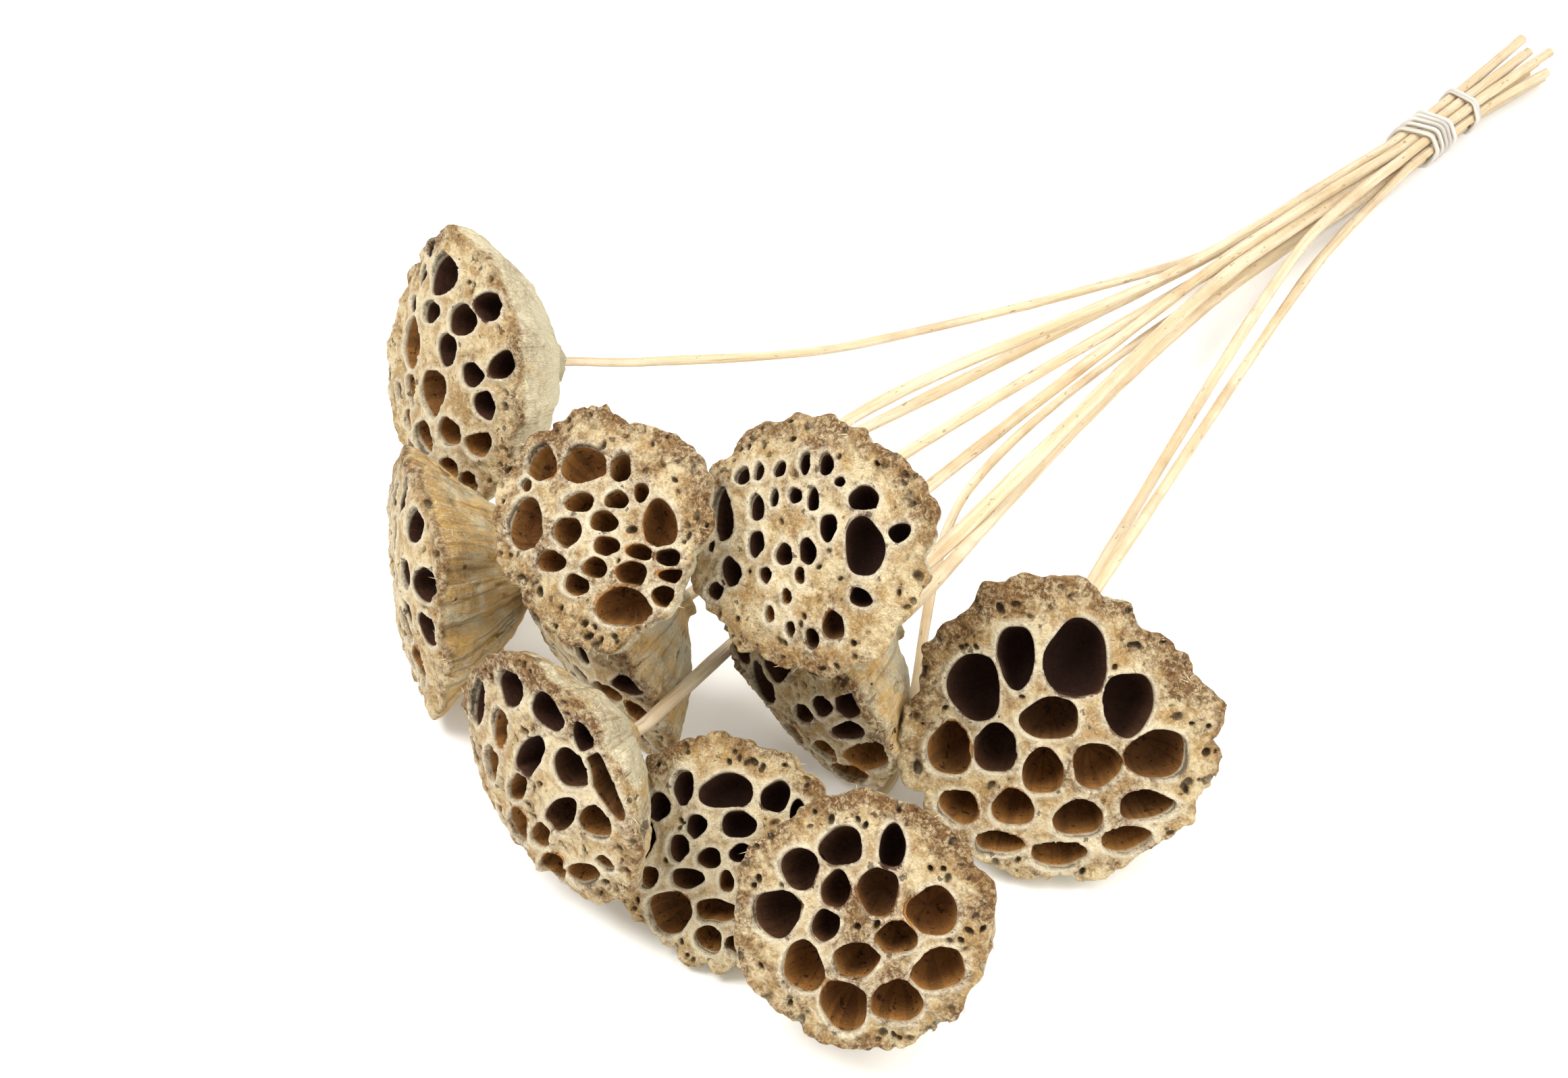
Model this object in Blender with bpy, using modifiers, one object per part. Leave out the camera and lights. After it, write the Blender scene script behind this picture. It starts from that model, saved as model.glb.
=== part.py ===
# A tied bunch of ten dried lotus seed pods on ten stems, lying on a surface.
# Each pod is one solid: a domed face with open seed cavities, a scalloped rim,
# a funnel behind it and a short stub, which the pod's stem meets.
# +Y runs from the pods to the cut ends, +Z is up, and the surface is at Z = 0.
# Sizes below are in millimetres; the objects are made in metres.
import math
import bpy
import bmesh
from mathutils import Matrix, Vector
from mathutils.geometry import convex_hull_2d

mm = 0.001
gap = 0.3            # left between pieces that touch
segments = 24        # steps round a pod
cavity_sides = 6
cavity_depth = 0.36  # share of the rim radius
cavity_floor = 0.6   # width of a cavity's floor as a share of its mouth
mouth_rise = 3.0     # how far a cavity's cutter stands above the face
focus = 1.7          # cavities lean towards a point this many rim radii below the rim
crown = 0.14         # height of the face's middle above the rim, as a share of its radius

# From the rim down to the stub: share of the rim radius, and share of the funnel's depth.
funnel = ((1.0, 0.03), (0.96, 0.13), (0.82, 0.32), (0.6, 0.56), (0.36, 0.77), (0.17, 0.9), (0.15, 1.0))
# From the crown out to the rim: share of the rim radius, and height as a share of it.
face = ((0.45, 0.12), (0.8, 0.075), (0.97, 0.03))

bundle_pitch = 4.9   # from stem to stem inside the tie
bundle_height = 3.9  # centre of the lowest row of stems
row_rise = 0.87      # height from row to row, as a share of the pitch
tie_start = Vector((39, 287))    # where the tie begins, in plan
tie_end = Vector((41, 344))      # end of the straight run of the stems
straight = (-8, -3, 52, 57)   # points of the straight run, from the start of the tie
wound_band = (0, 24)          # where the wound tie starts, and its width
single_band = (44, 4)         # the same for the single tie
cut_ends = Vector((45, 392))     # middle of the cut ends
splay = 1.6          # how much wider the stems stand at the cut ends than in the tie
band_thickness = 1.2
stub_reach = 7.0     # straight part of a stem behind its pod
sample_length = 13.0     # mm between the rings of a stem

# Each pod: centre of the rim, heading and lift of the face in degrees, depth to the end of
# the stub, rim radius every 30 degrees, and cavities as (across, up, long, short, turn).
pods = {
    "pod_1": {
        "centre": (-91, -155, 79), "heading": -107, "lift": 20, "depth": 40.5,
        "rim": (44, 42, 41, 42, 45, 42, 42, 46, 47, 47, 46, 46),
        "cavities": (
            (-12.5, 27, 14.5, 13.5, 40), (-24.5, 20.5, 7, 5.5, 110), (-25, 9.5, 8, 5.5, 30),
            (-11, 14, 11.5, 7.5, 30), (6.5, 20.5, 13.5, 10, 30), (-20.5, -2.5, 16.5, 15.5, 80),
            (4, 8.5, 11.5, 10.5, 50), (1.5, -9.5, 16.5, 15, 70), (-34, -24.5, 8.5, 5, 115),
            (-25, -24.5, 6.5, 5, 110), (-14, -17.5, 10.5, 8, 110), (-14, -29.5, 8, 7, 45),
            (0, -27.5, 14.5, 10.5, 40), (15.5, -16, 15, 9, 35), (29, 2, 9.5, 9, 85),
            (30, -12.5, 13, 7.5, 35), (17.5, -29, 13, 7, 35), (15, 30.5, 12, 9, 20), (-8, -38, 9, 7, 0),
            (28, -28, 9, 7, 40), (20, 8, 10, 8, 30), (-26.5, 29, 6, 5, 0), (30.5, 17.5, 11, 8, 60),
        ),
    },
    "pod_2": {
        "centre": (23, -204, 103.5), "heading": -84, "lift": 51, "depth": 35,
        "rim": (32, 35, 35, 33, 37, 37, 36, 31, 29, 32, 36, 34),
        "cavities": (
            (-24.5, 10.5, 12.5, 9, 145), (-11, 15, 14.5, 11.5, 5), (0.5, 18.5, 9, 6, 125),
            (-19.5, -7.5, 15.5, 12, 135), (-6, 4.5, 9, 6, 15), (4.5, 9.5, 7.5, 5, 15),
            (10, 14.5, 6, 4, 125), (4, 2.5, 8.5, 6, 15), (8, -3.5, 7.5, 5.5, 15),
            (-5, -4.5, 9.5, 8.5, 160), (19.5, 8.5, 13, 9.5, 125), (18, -1, 7.5, 4.5, 20),
            (-6, -14, 10, 6, 20), (7.5, -10.5, 7.5, 5.5, 15), (18.5, -7.5, 8.5, 7, 10),
            (26, 1, 6.5, 5, 15), (30, -3, 8, 4, 20), (4.5, -17, 7.5, 6, 5), (20.5, -17, 16.5, 10, 20),
            (30, -9.5, 8, 5.5, 15), (-25.5, 3, 4.5, 3.5, 155),
        ),
    },
    "pod_3": {
        "centre": (73, -169.5, 101.5), "heading": -84, "lift": 42, "depth": 36,
        "rim": (36, 38, 37, 36, 38, 39, 39, 38, 36, 35, 37, 38),
        "cavities": (
            (-27.5, -1.5, 15, 7.5, 115), (-18.5, -15.5, 8.5, 7.5, 125), (17.5, 6.5, 16, 10.5, 115),
            (11.5, 19, 8.5, 6.5, 20), (17.5, -17.5, 7.5, 6.5, 120), (-17.5, 4.5, 7, 5, 120),
            (-13.5, -5, 7.5, 5.5, 115), (-13, 9, 5, 3, 115), (-7.5, 12, 4.5, 4, 135),
            (-2, 13, 6.5, 3.5, 115), (-26, 11, 5.5, 5, 130), (-21.5, 14, 5.5, 3.5, 115),
            (-15.5, 17, 5, 4, 125), (-9, 21.5, 6.5, 3.5, 115), (-3, 23.5, 6.5, 4, 115),
            (3, 20.5, 3, 3, 145), (5.5, 7.5, 7.5, 5, 115), (-4, -4.5, 6, 5, 120),
            (2.5, -1, 7.5, 5, 115), (-7, -12, 4.5, 4, 125), (3, -8, 5, 3, 115), (1.5, -15, 4.5, 3, 115),
            (-1.5, -21.5, 4.5, 3, 115), (6, -23, 4.5, 3, 115), (13, -23, 6, 4, 115), (22, -7, 6, 5, 0),
            (25, 14, 6, 5, 60), (-21.5, -22.5, 6, 5, 40), (-28, -10.5, 4.5, 3, 100),
        ),
    },
    "pod_4": {
        "centre": (-56, -209, 42.5), "heading": -121, "lift": 8, "depth": 44,
        "rim": (40, 41, 42, 40, 39, 41, 43, 41, 39, 40, 42, 41),
        "cavities": (
            (1, -1, 11, 9, 20), (14.5, -2, 9.5, 8, 170), (10, 10.5, 10, 9, 50),
            (-10, 10.5, 11.5, 8.5, 135), (-14.5, 2, 11, 7.5, 170), (-9.5, -11, 10, 8.5, 50),
            (10, -10.5, 11.5, 8.5, 135), (29, 3, 11.5, 9.5, 5), (24, 17, 13.5, 11, 35),
            (8.5, 28, 11, 10.5, 75), (-6, 28.5, 12.5, 9, 100), (-19, 22, 11, 11, 130),
            (-28.5, 4.5, 12.5, 9.5, 170), (-26.5, -12, 13, 11, 25), (-16.5, -24, 12.5, 10, 55),
            (-3, -29, 12, 9, 85), (10.5, -27, 13.5, 9, 110), (21.5, -19.5, 13, 9.5, 140),
        ),
    },
    "pod_5": {
        "centre": (11, -197, 37), "heading": -100, "lift": -11, "depth": 36,
        "rim": (33, 33, 36, 36, 34, 36, 37, 35, 36, 37, 35, 34),
        "cavities": (
            (1, -1, 11, 9, 20), (12.5, 1, 10.5, 8.5, 5), (4, 12.5, 8.5, 6, 75), (-3.5, 12.5, 8, 6, 105),
            (-12.5, -1, 11, 7, 5), (-6.5, -11, 9, 8, 60), (7, -10.5, 8.5, 7.5, 125),
            (25.5, -2, 12, 9, 175), (23, 11, 11.5, 7.5, 25), (9.5, 23.5, 9.5, 7.5, 70),
            (-7, 24.5, 9.5, 8, 105), (-19.5, 16.5, 11.5, 8, 140), (-25.5, 3.5, 10, 7.5, 175),
            (-25, -5, 11, 7.5, 10), (-13.5, -21.5, 11.5, 8, 60), (-5, -25, 9.5, 7.5, 80),
            (7, -24.5, 10, 8.5, 105), (19, -17, 11, 8, 140),
        ),
    },
    "pod_6": {
        "centre": (43.5, -250, 50), "heading": -94, "lift": 7, "depth": 32,
        "rim": (37, 36, 38, 37, 39, 38, 36, 35, 34, 35, 37, 38),
        "cavities": (
            (-27, 13.5, 14.5, 8, 90), (-16.5, 11.5, 13.5, 6.5, 85), (-2, 11.5, 18, 8, 65),
            (-19, -3, 14, 7, 80), (-7, -4, 14, 6, 65), (12, -0.5, 18.5, 8, 60),
            (-8, -20.5, 16.5, 8.5, 70), (2.5, -16.5, 15.5, 6.5, 60), (19.5, -19.5, 17, 7.5, 50),
            (6, -28, 17, 8.5, 55), (14, 17, 13, 11, 30), (-14, 27, 12, 9, 10), (2, 29, 13, 9, 0),
            (24, 4, 12, 9.5, 60), (-30, -7.5, 9, 5, 100), (16, 28, 9, 7, 140), (27.5, -9.5, 7, 5.5, 60),
            (-16.5, -24.5, 8, 5, 150),
        ),
    },
    "pod_7": {
        "centre": (70.5, -166.5, 36.5), "heading": -96, "lift": -12, "depth": 38,
        "rim": (36, 37, 36, 35, 37, 34, 34, 35, 36, 36, 35, 36),
        "cavities": (
            (-27.5, 7.5, 21, 11.5, 60), (-5.5, 18, 20, 10, 65), (-16.5, -2.5, 25.5, 12.5, 70),
            (-31, -9, 10, 5.5, 75), (13, 12, 13.5, 6, 60), (4, 1.5, 14, 6.5, 60),
            (-7.5, -22, 16.5, 9, 55), (21.5, 5.5, 14, 7, 45), (9, -14.5, 15.5, 8, 55),
            (27.5, -3.5, 22, 11, 50), (15.5, -23.5, 20, 10, 50), (-17.5, 25.5, 10, 8, 20),
            (8, 28, 12, 9, 0), (22.5, 18.5, 11.5, 8.5, 60), (-2.5, -30.5, 10.5, 7.5, 0),
            (-25, -20.5, 9, 7, 130),
        ),
    },
    "pod_8": {
        "centre": (87, -224, 28.5), "heading": -77, "lift": 42, "depth": 33.5,
        "rim": (34, 35, 35, 34, 35, 36, 36, 35, 33, 33, 33, 34),
        "cavities": (
            (-17, 14.5, 9.5, 7, 110), (-23, 6.5, 8.5, 7.5, 105), (-4, 18, 16.5, 9.5, 20),
            (10.5, 21.5, 8.5, 8, 90), (18, 19.5, 6.5, 4.5, 110), (-25, -5, 12.5, 10.5, 105),
            (-9, 5.5, 7, 6.5, 105), (-12, -2, 7.5, 7, 105), (-2, -1.5, 7, 6, 25),
            (3, 10.5, 10, 7.5, 20), (6.5, 3, 7, 5, 20), (-19, -13.5, 8.5, 6, 20), (-7, -9.5, 10, 6, 20),
            (5, -6, 6, 4.5, 105), (-9.5, -21, 13.5, 12.5, 35), (4.5, -15, 12.5, 7, 20),
            (4.5, -23.5, 8.5, 8, 45), (13.5, -22, 8, 6, 25), (24, -5, 8, 6, 80), (26, 7, 7, 6, 60),
        ),
    },
    "pod_9": {
        "centre": (142, -229.5, 46), "heading": -66, "lift": 36, "depth": 35,
        "rim": (35, 36, 36, 37, 37, 37, 37, 37, 36, 36, 34, 35),
        "cavities": (
            (-9, 20.5, 11.5, 10, 20), (4.5, 23.5, 10.5, 7, 95), (-19.5, 12, 11, 10, 85),
            (-8.5, 9, 9.5, 7.5, 90), (3, 11, 12.5, 10, 85), (18.5, 8.5, 13, 12, 50),
            (-23.5, -1.5, 14, 12, 20), (-9.5, -1.5, 8.5, 7.5, 75), (10, -0.5, 11.5, 8, 15),
            (-13.5, -14, 14, 12, 85), (0.5, -8.5, 12, 10, 30), (22.5, -7, 13.5, 11.5, 25),
            (-1, -22.5, 14.5, 13, 90), (13, -18, 13.5, 12, 40),
        ),
    },
    "pod_10": {
        "centre": (142, -136, 45), "heading": -55, "lift": 30, "depth": 41.5,
        "rim": (47, 43, 41, 45, 47, 47, 47, 48, 46, 47, 45, 46),
        "cavities": (
            (-26.5, 13.5, 19.5, 15, 95), (-15, 23.5, 17, 11, 95), (2.5, 24, 21.5, 17.5, 95),
            (18.5, 11.5, 17.5, 15, 95), (-4, 6, 16, 12.5, 5), (-33, -6.5, 15, 13, 90),
            (-19.5, -4.5, 14.5, 12.5, 95), (-5, -10.5, 13.5, 12, 95), (10.5, -7.5, 14, 13, 95),
            (28, -3.5, 17, 15, 0), (-29, -24, 11.5, 11, 10), (-13, -23, 12.5, 11, 5),
            (6.5, -24.5, 14.5, 11.5, 5), (26, -19.5, 15.5, 9.5, 5), (-16.5, -34.5, 13.5, 7.5, 5),
            (1.5, -36.5, 16, 9, 5), (21, -30.5, 14.5, 8.5, 5),
        ),
    },
}

# Each stem: radius, place in the bundle (pitches across, row), how far its cut end runs past
# the others, and the route between its pod and the tie.
stems = {
    "stem_1": {"radius": 1.7, "place": (-1.5, 1), "past": -2,
        "route": ((-68, -89, 54), (-34, -11, 34), (23, 165, 13))},
    "stem_2": {"radius": 2.0, "place": (-1, 2), "past": 7,
        "route": ((18, -155, 66), (4, -48, 47), (25, 114, 27))},
    "stem_3": {"radius": 2.2, "place": (0.5, 1), "past": -9,
        "route": ((66, -108, 46), (59, -34, 40), (39, 132, 23))},
    "stem_4": {"radius": 2.0, "place": (-1, 0), "past": 0,
        "route": ((-24, -141, 33), (-6, -23, 23), (22, 188, 8))},
    "stem_5": {"radius": 1.9, "place": (-0.5, 1), "past": 9,
        "route": ((18, -133, 43), (21, -23, 33), (31, 151, 17))},
    "stem_6": {"radius": 2.0, "place": (0, 2), "past": -7,
        "route": ((45, -198, 45), (28, -126, 24), (34, 131, 25))},
    "stem_7": {"radius": 2.1, "place": (1, 0), "past": 2,
        "route": ((72, -103, 43), (52, 10, 29), (38, 137, 13))},
    "stem_8": {"radius": 1.6, "place": (0, 0), "past": 11,
        "route": ((94, -153, 6), (47, -53, 33), (33, 139, 12))},
    "stem_9": {"radius": 1.8, "place": (1.5, 1), "past": -4,
        "route": ((120, -172, 13), (102, -67, 15), (53, 180, 7))},
    "stem_10": {"radius": 1.9, "place": (1, 2), "past": 4,
        "route": ((102, -78, 6), (84, -14, 4), (48, 175, 17))},
}


def clear_scene():
    for item in list(bpy.data.objects):
        bpy.data.objects.remove(item, do_unlink=True)


def add_collection(name):
    collection = bpy.data.collections.new(name)
    bpy.context.scene.collection.children.link(collection)
    return collection


def add_material(name, colour, roughness, metallic=0.0):
    material = bpy.data.materials.new(name)
    material.use_nodes = True
    shader = material.node_tree.nodes["Principled BSDF"]
    shader.inputs["Base Color"].default_value = (*colour, 1.0)
    shader.inputs["Roughness"].default_value = roughness
    shader.inputs["Metallic"].default_value = metallic
    return material


def add_object(name, mesh, collection):
    item = bpy.data.objects.new(name, mesh)
    collection.objects.link(item)
    return item


def baked_mesh(item):
    depsgraph = bpy.context.evaluated_depsgraph_get()
    return bpy.data.meshes.new_from_object(item.evaluated_get(depsgraph))


def rim_radius(rim, angle):
    """Radius of the rim at an angle, in a smooth curve through the listed radii."""
    place = (angle / (2 * math.pi)) % 1.0 * len(rim)
    first = int(place)
    share = (1 - math.cos(math.pi * (place - first))) / 2
    return rim[first % len(rim)] * (1 - share) + rim[(first + 1) % len(rim)] * share


def turned_pod(spec, collection):
    """The pod's outer form, turned from its profile and then pushed out to its own rim."""
    radius = sum(spec["rim"]) / len(spec["rim"])
    profile = [(0.0, crown * radius)]
    profile += [(share * radius, rise * radius) for share, rise in face]
    profile += [(share * radius, -drop * spec["depth"]) for share, drop in funnel]
    profile.append((0.0, -spec["depth"]))
    mesh = bpy.data.meshes.new("pod_profile")
    points = [(x * mm, 0.0, z * mm) for x, z in profile]
    mesh.from_pydata(points, [(i, i + 1) for i in range(len(points) - 1)], [])
    outline = add_object("pod_profile", mesh, collection)
    screw = outline.modifiers.new("Turn", "SCREW")
    screw.angle = 2 * math.pi
    screw.steps = segments
    screw.render_steps = segments
    screw.use_merge_vertices = True
    screw.merge_threshold = 0.00001
    body = baked_mesh(outline)
    bpy.data.objects.remove(outline, do_unlink=True)
    for vertex in body.vertices:
        x, y, z = vertex.co
        reach = math.hypot(x, y)
        if reach < 0.1 * mm:
            continue
        wanted = rim_radius(spec["rim"], math.atan2(y, x)) / radius
        strength = min(1.0, max(0.0, 1.0 + z / (spec["depth"] * mm))) ** 0.7
        factor = 1 + (wanted - 1) * strength
        vertex.co.x = x * factor
        vertex.co.y = y * factor
    return body, radius


def cavity_cutters(spec, radius):
    """Tapered cutters, one for each cavity, leaning towards the stub."""
    cutters = bmesh.new()
    aim = Vector((0, 0, -focus * radius))
    for across, up, length, width, turn in spec["cavities"]:
        reach = math.hypot(across, up) / radius
        mouth = Vector((across, up, crown * radius * (1 - reach * reach)))
        lean = (mouth - aim).normalized()
        depth = min(cavity_depth * radius, 1.6 * length)
        middle = mouth + lean * (mouth_rise - depth) / 2
        stand = Vector((0, 0, 1)).rotation_difference(lean).to_matrix().to_4x4()
        spin = Matrix.Rotation(math.radians(turn), 4, "Z")
        size = Matrix.Diagonal((length / 2 * mm, width / 2 * mm, (depth + mouth_rise) * mm, 1.0))
        bmesh.ops.create_cone(
            cutters, cap_ends=True, segments=cavity_sides, radius1=cavity_floor, radius2=1.05,
            depth=1.0, matrix=Matrix.Translation(middle * mm) @ stand @ spin @ size)
    mesh = bpy.data.meshes.new("cavities")
    cutters.to_mesh(mesh)
    cutters.free()
    return mesh


def build_pod(name, spec, material, parts, cutters, bunch):
    body, radius = turned_pod(spec, parts)
    body.name = name
    pod = add_object(name, body, parts)
    tool = add_object(name + "_cavities", cavity_cutters(spec, radius), cutters)
    tool.hide_render = True
    tool.display_type = "WIRE"
    for item in (pod, tool):
        item.parent = bunch
        item.location = Vector(spec["centre"]) * mm
        tilt = math.radians(90 - spec["lift"])
        item.rotation_euler = (tilt, 0.0, math.radians(spec["heading"] + 90))
    cut = pod.modifiers.new("Cavities", "BOOLEAN")
    cut.operation = "DIFFERENCE"
    cut.solver = "EXACT"
    cut.object = tool
    body.materials.clear()
    body.materials.append(material)
    body.shade_smooth()
    body.set_sharp_from_angle(angle=math.radians(40))
    return pod


def face_direction(spec):
    heading = math.radians(spec["heading"])
    lift = math.radians(spec["lift"])
    level = math.cos(lift)
    return Vector((level * math.cos(heading), level * math.sin(heading), math.sin(lift)))


def shortened(heading, length):
    return heading * min(1.0, length / heading.length)


def smooth_route(points):
    """Points on a smooth curve that passes through every given point and never folds back."""
    around = [points[0] * 2 - points[1]] + points + [points[-1] * 2 - points[-2]]
    headings = [(after - before) / 2 for before, after in zip(around, around[2:])]
    route = []
    for i, (point, following) in enumerate(zip(points, points[1:])):
        step = following - point
        count = max(1, round(step.length / sample_length))
        leave = shortened(headings[i], step.length)
        arrive = shortened(headings[i + 1], step.length)
        for sample in range(count):
            t = sample / count
            route.append(point + step * (3 * t ** 2 - 2 * t ** 3)
                         + leave * (t ** 3 - 2 * t ** 2 + t) + arrive * (t ** 3 - t ** 2))
    route.append(points[-1])
    return route


def bundle_axes():
    along = (tie_end - tie_start).normalized()
    return along, Vector((along.y, -along.x))


def bundle_place(spec):
    """Where a stem lies in the bundle: mm across, and height."""
    across, row = spec["place"]
    return across * bundle_pitch, bundle_height + row * row_rise * bundle_pitch


def stem_points(pod, spec):
    along, side = bundle_axes()
    across, height = bundle_place(spec)
    back = -face_direction(pod)
    start = Vector(pod["centre"]) + back * (pod["depth"] + gap)
    offset = side * across
    end = cut_ends + side * across * splay + along * spec["past"]
    spots = [tie_start + offset + along * distance for distance in straight]
    straight_run = [Vector((*spot, height)) for spot in spots]
    rise = (height - bundle_height) * 0.4
    return ([start, start + back * stub_reach / 2, start + back * stub_reach]
            + [Vector(point) for point in spec["route"]]
            + straight_run + [Vector((*end, height + rise))])


def build_stem(name, pod, spec, material, parts, bunch):
    curve = bpy.data.curves.new(name, "CURVE")
    curve.dimensions = "3D"
    curve.bevel_depth = spec["radius"] * mm
    curve.bevel_resolution = 2
    curve.use_fill_caps = True
    route = smooth_route(stem_points(pod, spec))
    line = curve.splines.new("POLY")
    line.points.add(len(route) - 1)
    for knot, point in zip(line.points, route):
        knot.co = (*(point * mm), 1.0)
    stem = add_object(name, curve, parts)
    stem.parent = bunch
    curve.materials.append(material)
    return stem


def build_tie(name, start, width, material, parts, bunch):
    """An elastic band round the bundle: its outline is the hull of the stems."""
    rim = []
    for spec in stems.values():
        across, height = bundle_place(spec)
        reach = spec["radius"] + gap
        for step in range(12):
            angle = 2 * math.pi * step / 12
            rim.append(Vector((across + reach * math.cos(angle), height + reach * math.sin(angle))))
    outline = [rim[i] for i in convex_hull_2d(rim)]
    along, side = bundle_axes()
    points = []
    for distance in (start, start + width):
        spot = tie_start + along * distance
        for point in outline:
            place = spot + side * point.x
            points.append((place.x * mm, place.y * mm, point.y * mm))
    count = len(outline)
    sides = [(i, (i + 1) % count, count + (i + 1) % count, count + i) for i in range(count)]
    mesh = bpy.data.meshes.new(name)
    mesh.from_pydata(points, [], sides)
    shell = bmesh.new()
    shell.from_mesh(mesh)
    bmesh.ops.recalc_face_normals(shell, faces=shell.faces)
    middle = sum((vertex.co for vertex in shell.verts), Vector()) / len(shell.verts)
    shell.faces.ensure_lookup_table()
    outer = shell.faces[0]
    if outer.normal.dot(outer.calc_center_median() - middle) < 0:
        bmesh.ops.reverse_faces(shell, faces=shell.faces)
    shell.to_mesh(mesh)
    shell.free()
    mesh.materials.append(material)
    mesh.shade_smooth()
    mesh.set_sharp_from_angle(angle=math.radians(50))
    band = add_object(name, mesh, parts)
    band.parent = bunch
    wall = band.modifiers.new("Wall", "SOLIDIFY")
    wall.thickness = band_thickness * mm
    wall.offset = 1.0
    wall.use_even_offset = True
    return band


def centre_bunch(bunch, parts):
    """Put the middle of the bunch's footprint at the origin, resting at Z = 0."""
    bpy.context.view_layer.update()
    depsgraph = bpy.context.evaluated_depsgraph_get()
    low = Vector((1e9, 1e9, 1e9))
    high = -low
    for item in parts.objects:
        shape = item.evaluated_get(depsgraph)
        mesh = shape.to_mesh()
        for vertex in mesh.vertices:
            point = shape.matrix_world @ vertex.co
            low = Vector(map(min, low, point))
            high = Vector(map(max, high, point))
        shape.to_mesh_clear()
    bunch.location = (-(low.x + high.x) / 2, -(low.y + high.y) / 2, -low.z)


def build():
    clear_scene()
    parts = add_collection("dried_lotus_pods")
    cutters = add_collection("cutters")
    bunch = bpy.data.objects.new("bunch", None)
    bpy.context.scene.collection.objects.link(bunch)
    for name, spec in pods.items():
        husk = add_material(name + "_husk", (0.62, 0.5, 0.33), 0.7)
        build_pod(name, spec, husk, parts, cutters, bunch)
    for name, spec in stems.items():
        straw = add_material(name + "_straw", (0.85, 0.76, 0.56), 0.6)
        build_stem(name, pods[name.replace("stem", "pod")], spec, straw, parts, bunch)
    elastic = add_material("wound_elastic", (0.9, 0.88, 0.82), 0.6)
    build_tie("tie_wound", *wound_band, elastic, parts, bunch)
    elastic = add_material("single_elastic", (0.9, 0.88, 0.82), 0.6)
    build_tie("tie_single", *single_band, elastic, parts, bunch)
    centre_bunch(bunch, parts)


build()
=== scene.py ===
import math

import bpy
import numpy as np
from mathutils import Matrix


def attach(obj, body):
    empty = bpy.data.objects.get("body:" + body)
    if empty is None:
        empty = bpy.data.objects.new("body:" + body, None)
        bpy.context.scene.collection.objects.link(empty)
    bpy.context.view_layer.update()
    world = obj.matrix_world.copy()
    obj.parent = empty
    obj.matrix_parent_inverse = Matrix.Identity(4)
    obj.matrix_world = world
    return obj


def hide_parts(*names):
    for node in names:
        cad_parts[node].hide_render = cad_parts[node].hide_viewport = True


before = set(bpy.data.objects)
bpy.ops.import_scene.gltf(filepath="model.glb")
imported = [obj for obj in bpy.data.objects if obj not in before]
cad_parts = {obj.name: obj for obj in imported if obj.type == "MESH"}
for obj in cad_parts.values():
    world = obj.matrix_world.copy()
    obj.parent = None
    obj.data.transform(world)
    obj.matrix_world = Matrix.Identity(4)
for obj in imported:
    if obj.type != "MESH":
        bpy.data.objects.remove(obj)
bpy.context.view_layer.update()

import openvdb
from mathutils import Matrix, Vector
from mathutils.geometry import convex_hull_2d

print("frame loaded:", len(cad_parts), "nodes")

mm = 0.001
bunchShift = Vector((-24.632, -73.117, 0.338))  # mm, puts the middle of the footprint at the origin


def linear(red, green, blue):
    # an sRGB colour as the linear values that a socket takes
    return [((c / 255 + 0.055) / 1.055) ** 2.4 for c in (red, green, blue)] + [1.0]


def addObject(name, data):
    item = bpy.data.objects.new(name, data)
    bpy.context.scene.collection.objects.link(item)
    return item


# camera, light and floor
cameraSpec = {
    "azimuth": 40.0,     # degrees round the bunch, 0 looks along +Y
    "elevation": 41.0,
    "lens": 50.0,
    "place": (365.4, -528.8, 507.0),
}


studioSpec = {
    "worldColour": (1.0, 0.99, 0.975, 1.0),
    "worldStrength": 0.86,
    "floorColour": (0.97, 0.97, 0.965, 1.0),
    "floorRoughness": 0.9,
    "floorReach": 4.0,
}

softboxes = {
    "keySoftbox": {"place": (-0.35, -0.75, 1.25), "aim": (0.05, -0.2, 0.0), "size": 0.8, "power": 17.0,
                   "colour": (1.0, 0.985, 0.955)},
    "fillSoftbox": {"place": (0.95, -0.1, 1.0), "aim": (0.0, -0.15, 0.0), "size": 1.2, "power": 14.0,
                    "colour": (1.0, 0.99, 0.96)},
}


def addCamera(spec):
    lens = bpy.data.cameras.new("camera")
    lens.lens = spec["lens"]
    lens.sensor_width = 36.0
    lens.clip_start = 0.01
    camera = addObject("camera", lens)
    camera.location = (Vector(spec["place"]) + bunchShift) * mm
    camera.rotation_euler = (math.radians(90 - spec["elevation"]), 0, math.radians(spec["azimuth"]))
    bpy.context.scene.camera = camera


def addSoftbox(name, place, aim, size, power, colour):
    light = bpy.data.lights.new(name, "AREA")
    light.shape = "DISK"
    light.size = size
    light.energy = power
    light.color = colour
    box = addObject(name, light)
    box.location = place
    box.rotation_euler = (Vector(aim) - Vector(place)).to_track_quat("-Z", "Y").to_euler()


def addStudio(spec):
    scene = bpy.context.scene
    scene.view_settings.view_transform = "Standard"
    world = bpy.data.worlds.new("studio")
    world.use_nodes = True
    back = world.node_tree.nodes["Background"]
    back.inputs["Color"].default_value = spec["worldColour"]
    back.inputs["Strength"].default_value = spec["worldStrength"]
    scene.world = world
    for name, softbox in softboxes.items():
        addSoftbox(name, **softbox)
    mesh = bpy.data.meshes.new("floor")
    reach = spec["floorReach"]
    corners = [(-reach, -reach, 0), (reach, -reach, 0), (reach, reach, 0), (-reach, reach, 0)]
    mesh.from_pydata(corners, [], [(0, 1, 2, 3)])
    floor = addObject("floor", mesh)
    paper = bpy.data.materials.new("studioPaper")
    paper.use_nodes = True
    shader = paper.node_tree.nodes["Principled BSDF"]
    shader.inputs["Base Color"].default_value = spec["floorColour"]
    shader.inputs["Roughness"].default_value = spec["floorRoughness"]
    mesh.materials.append(paper)


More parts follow.
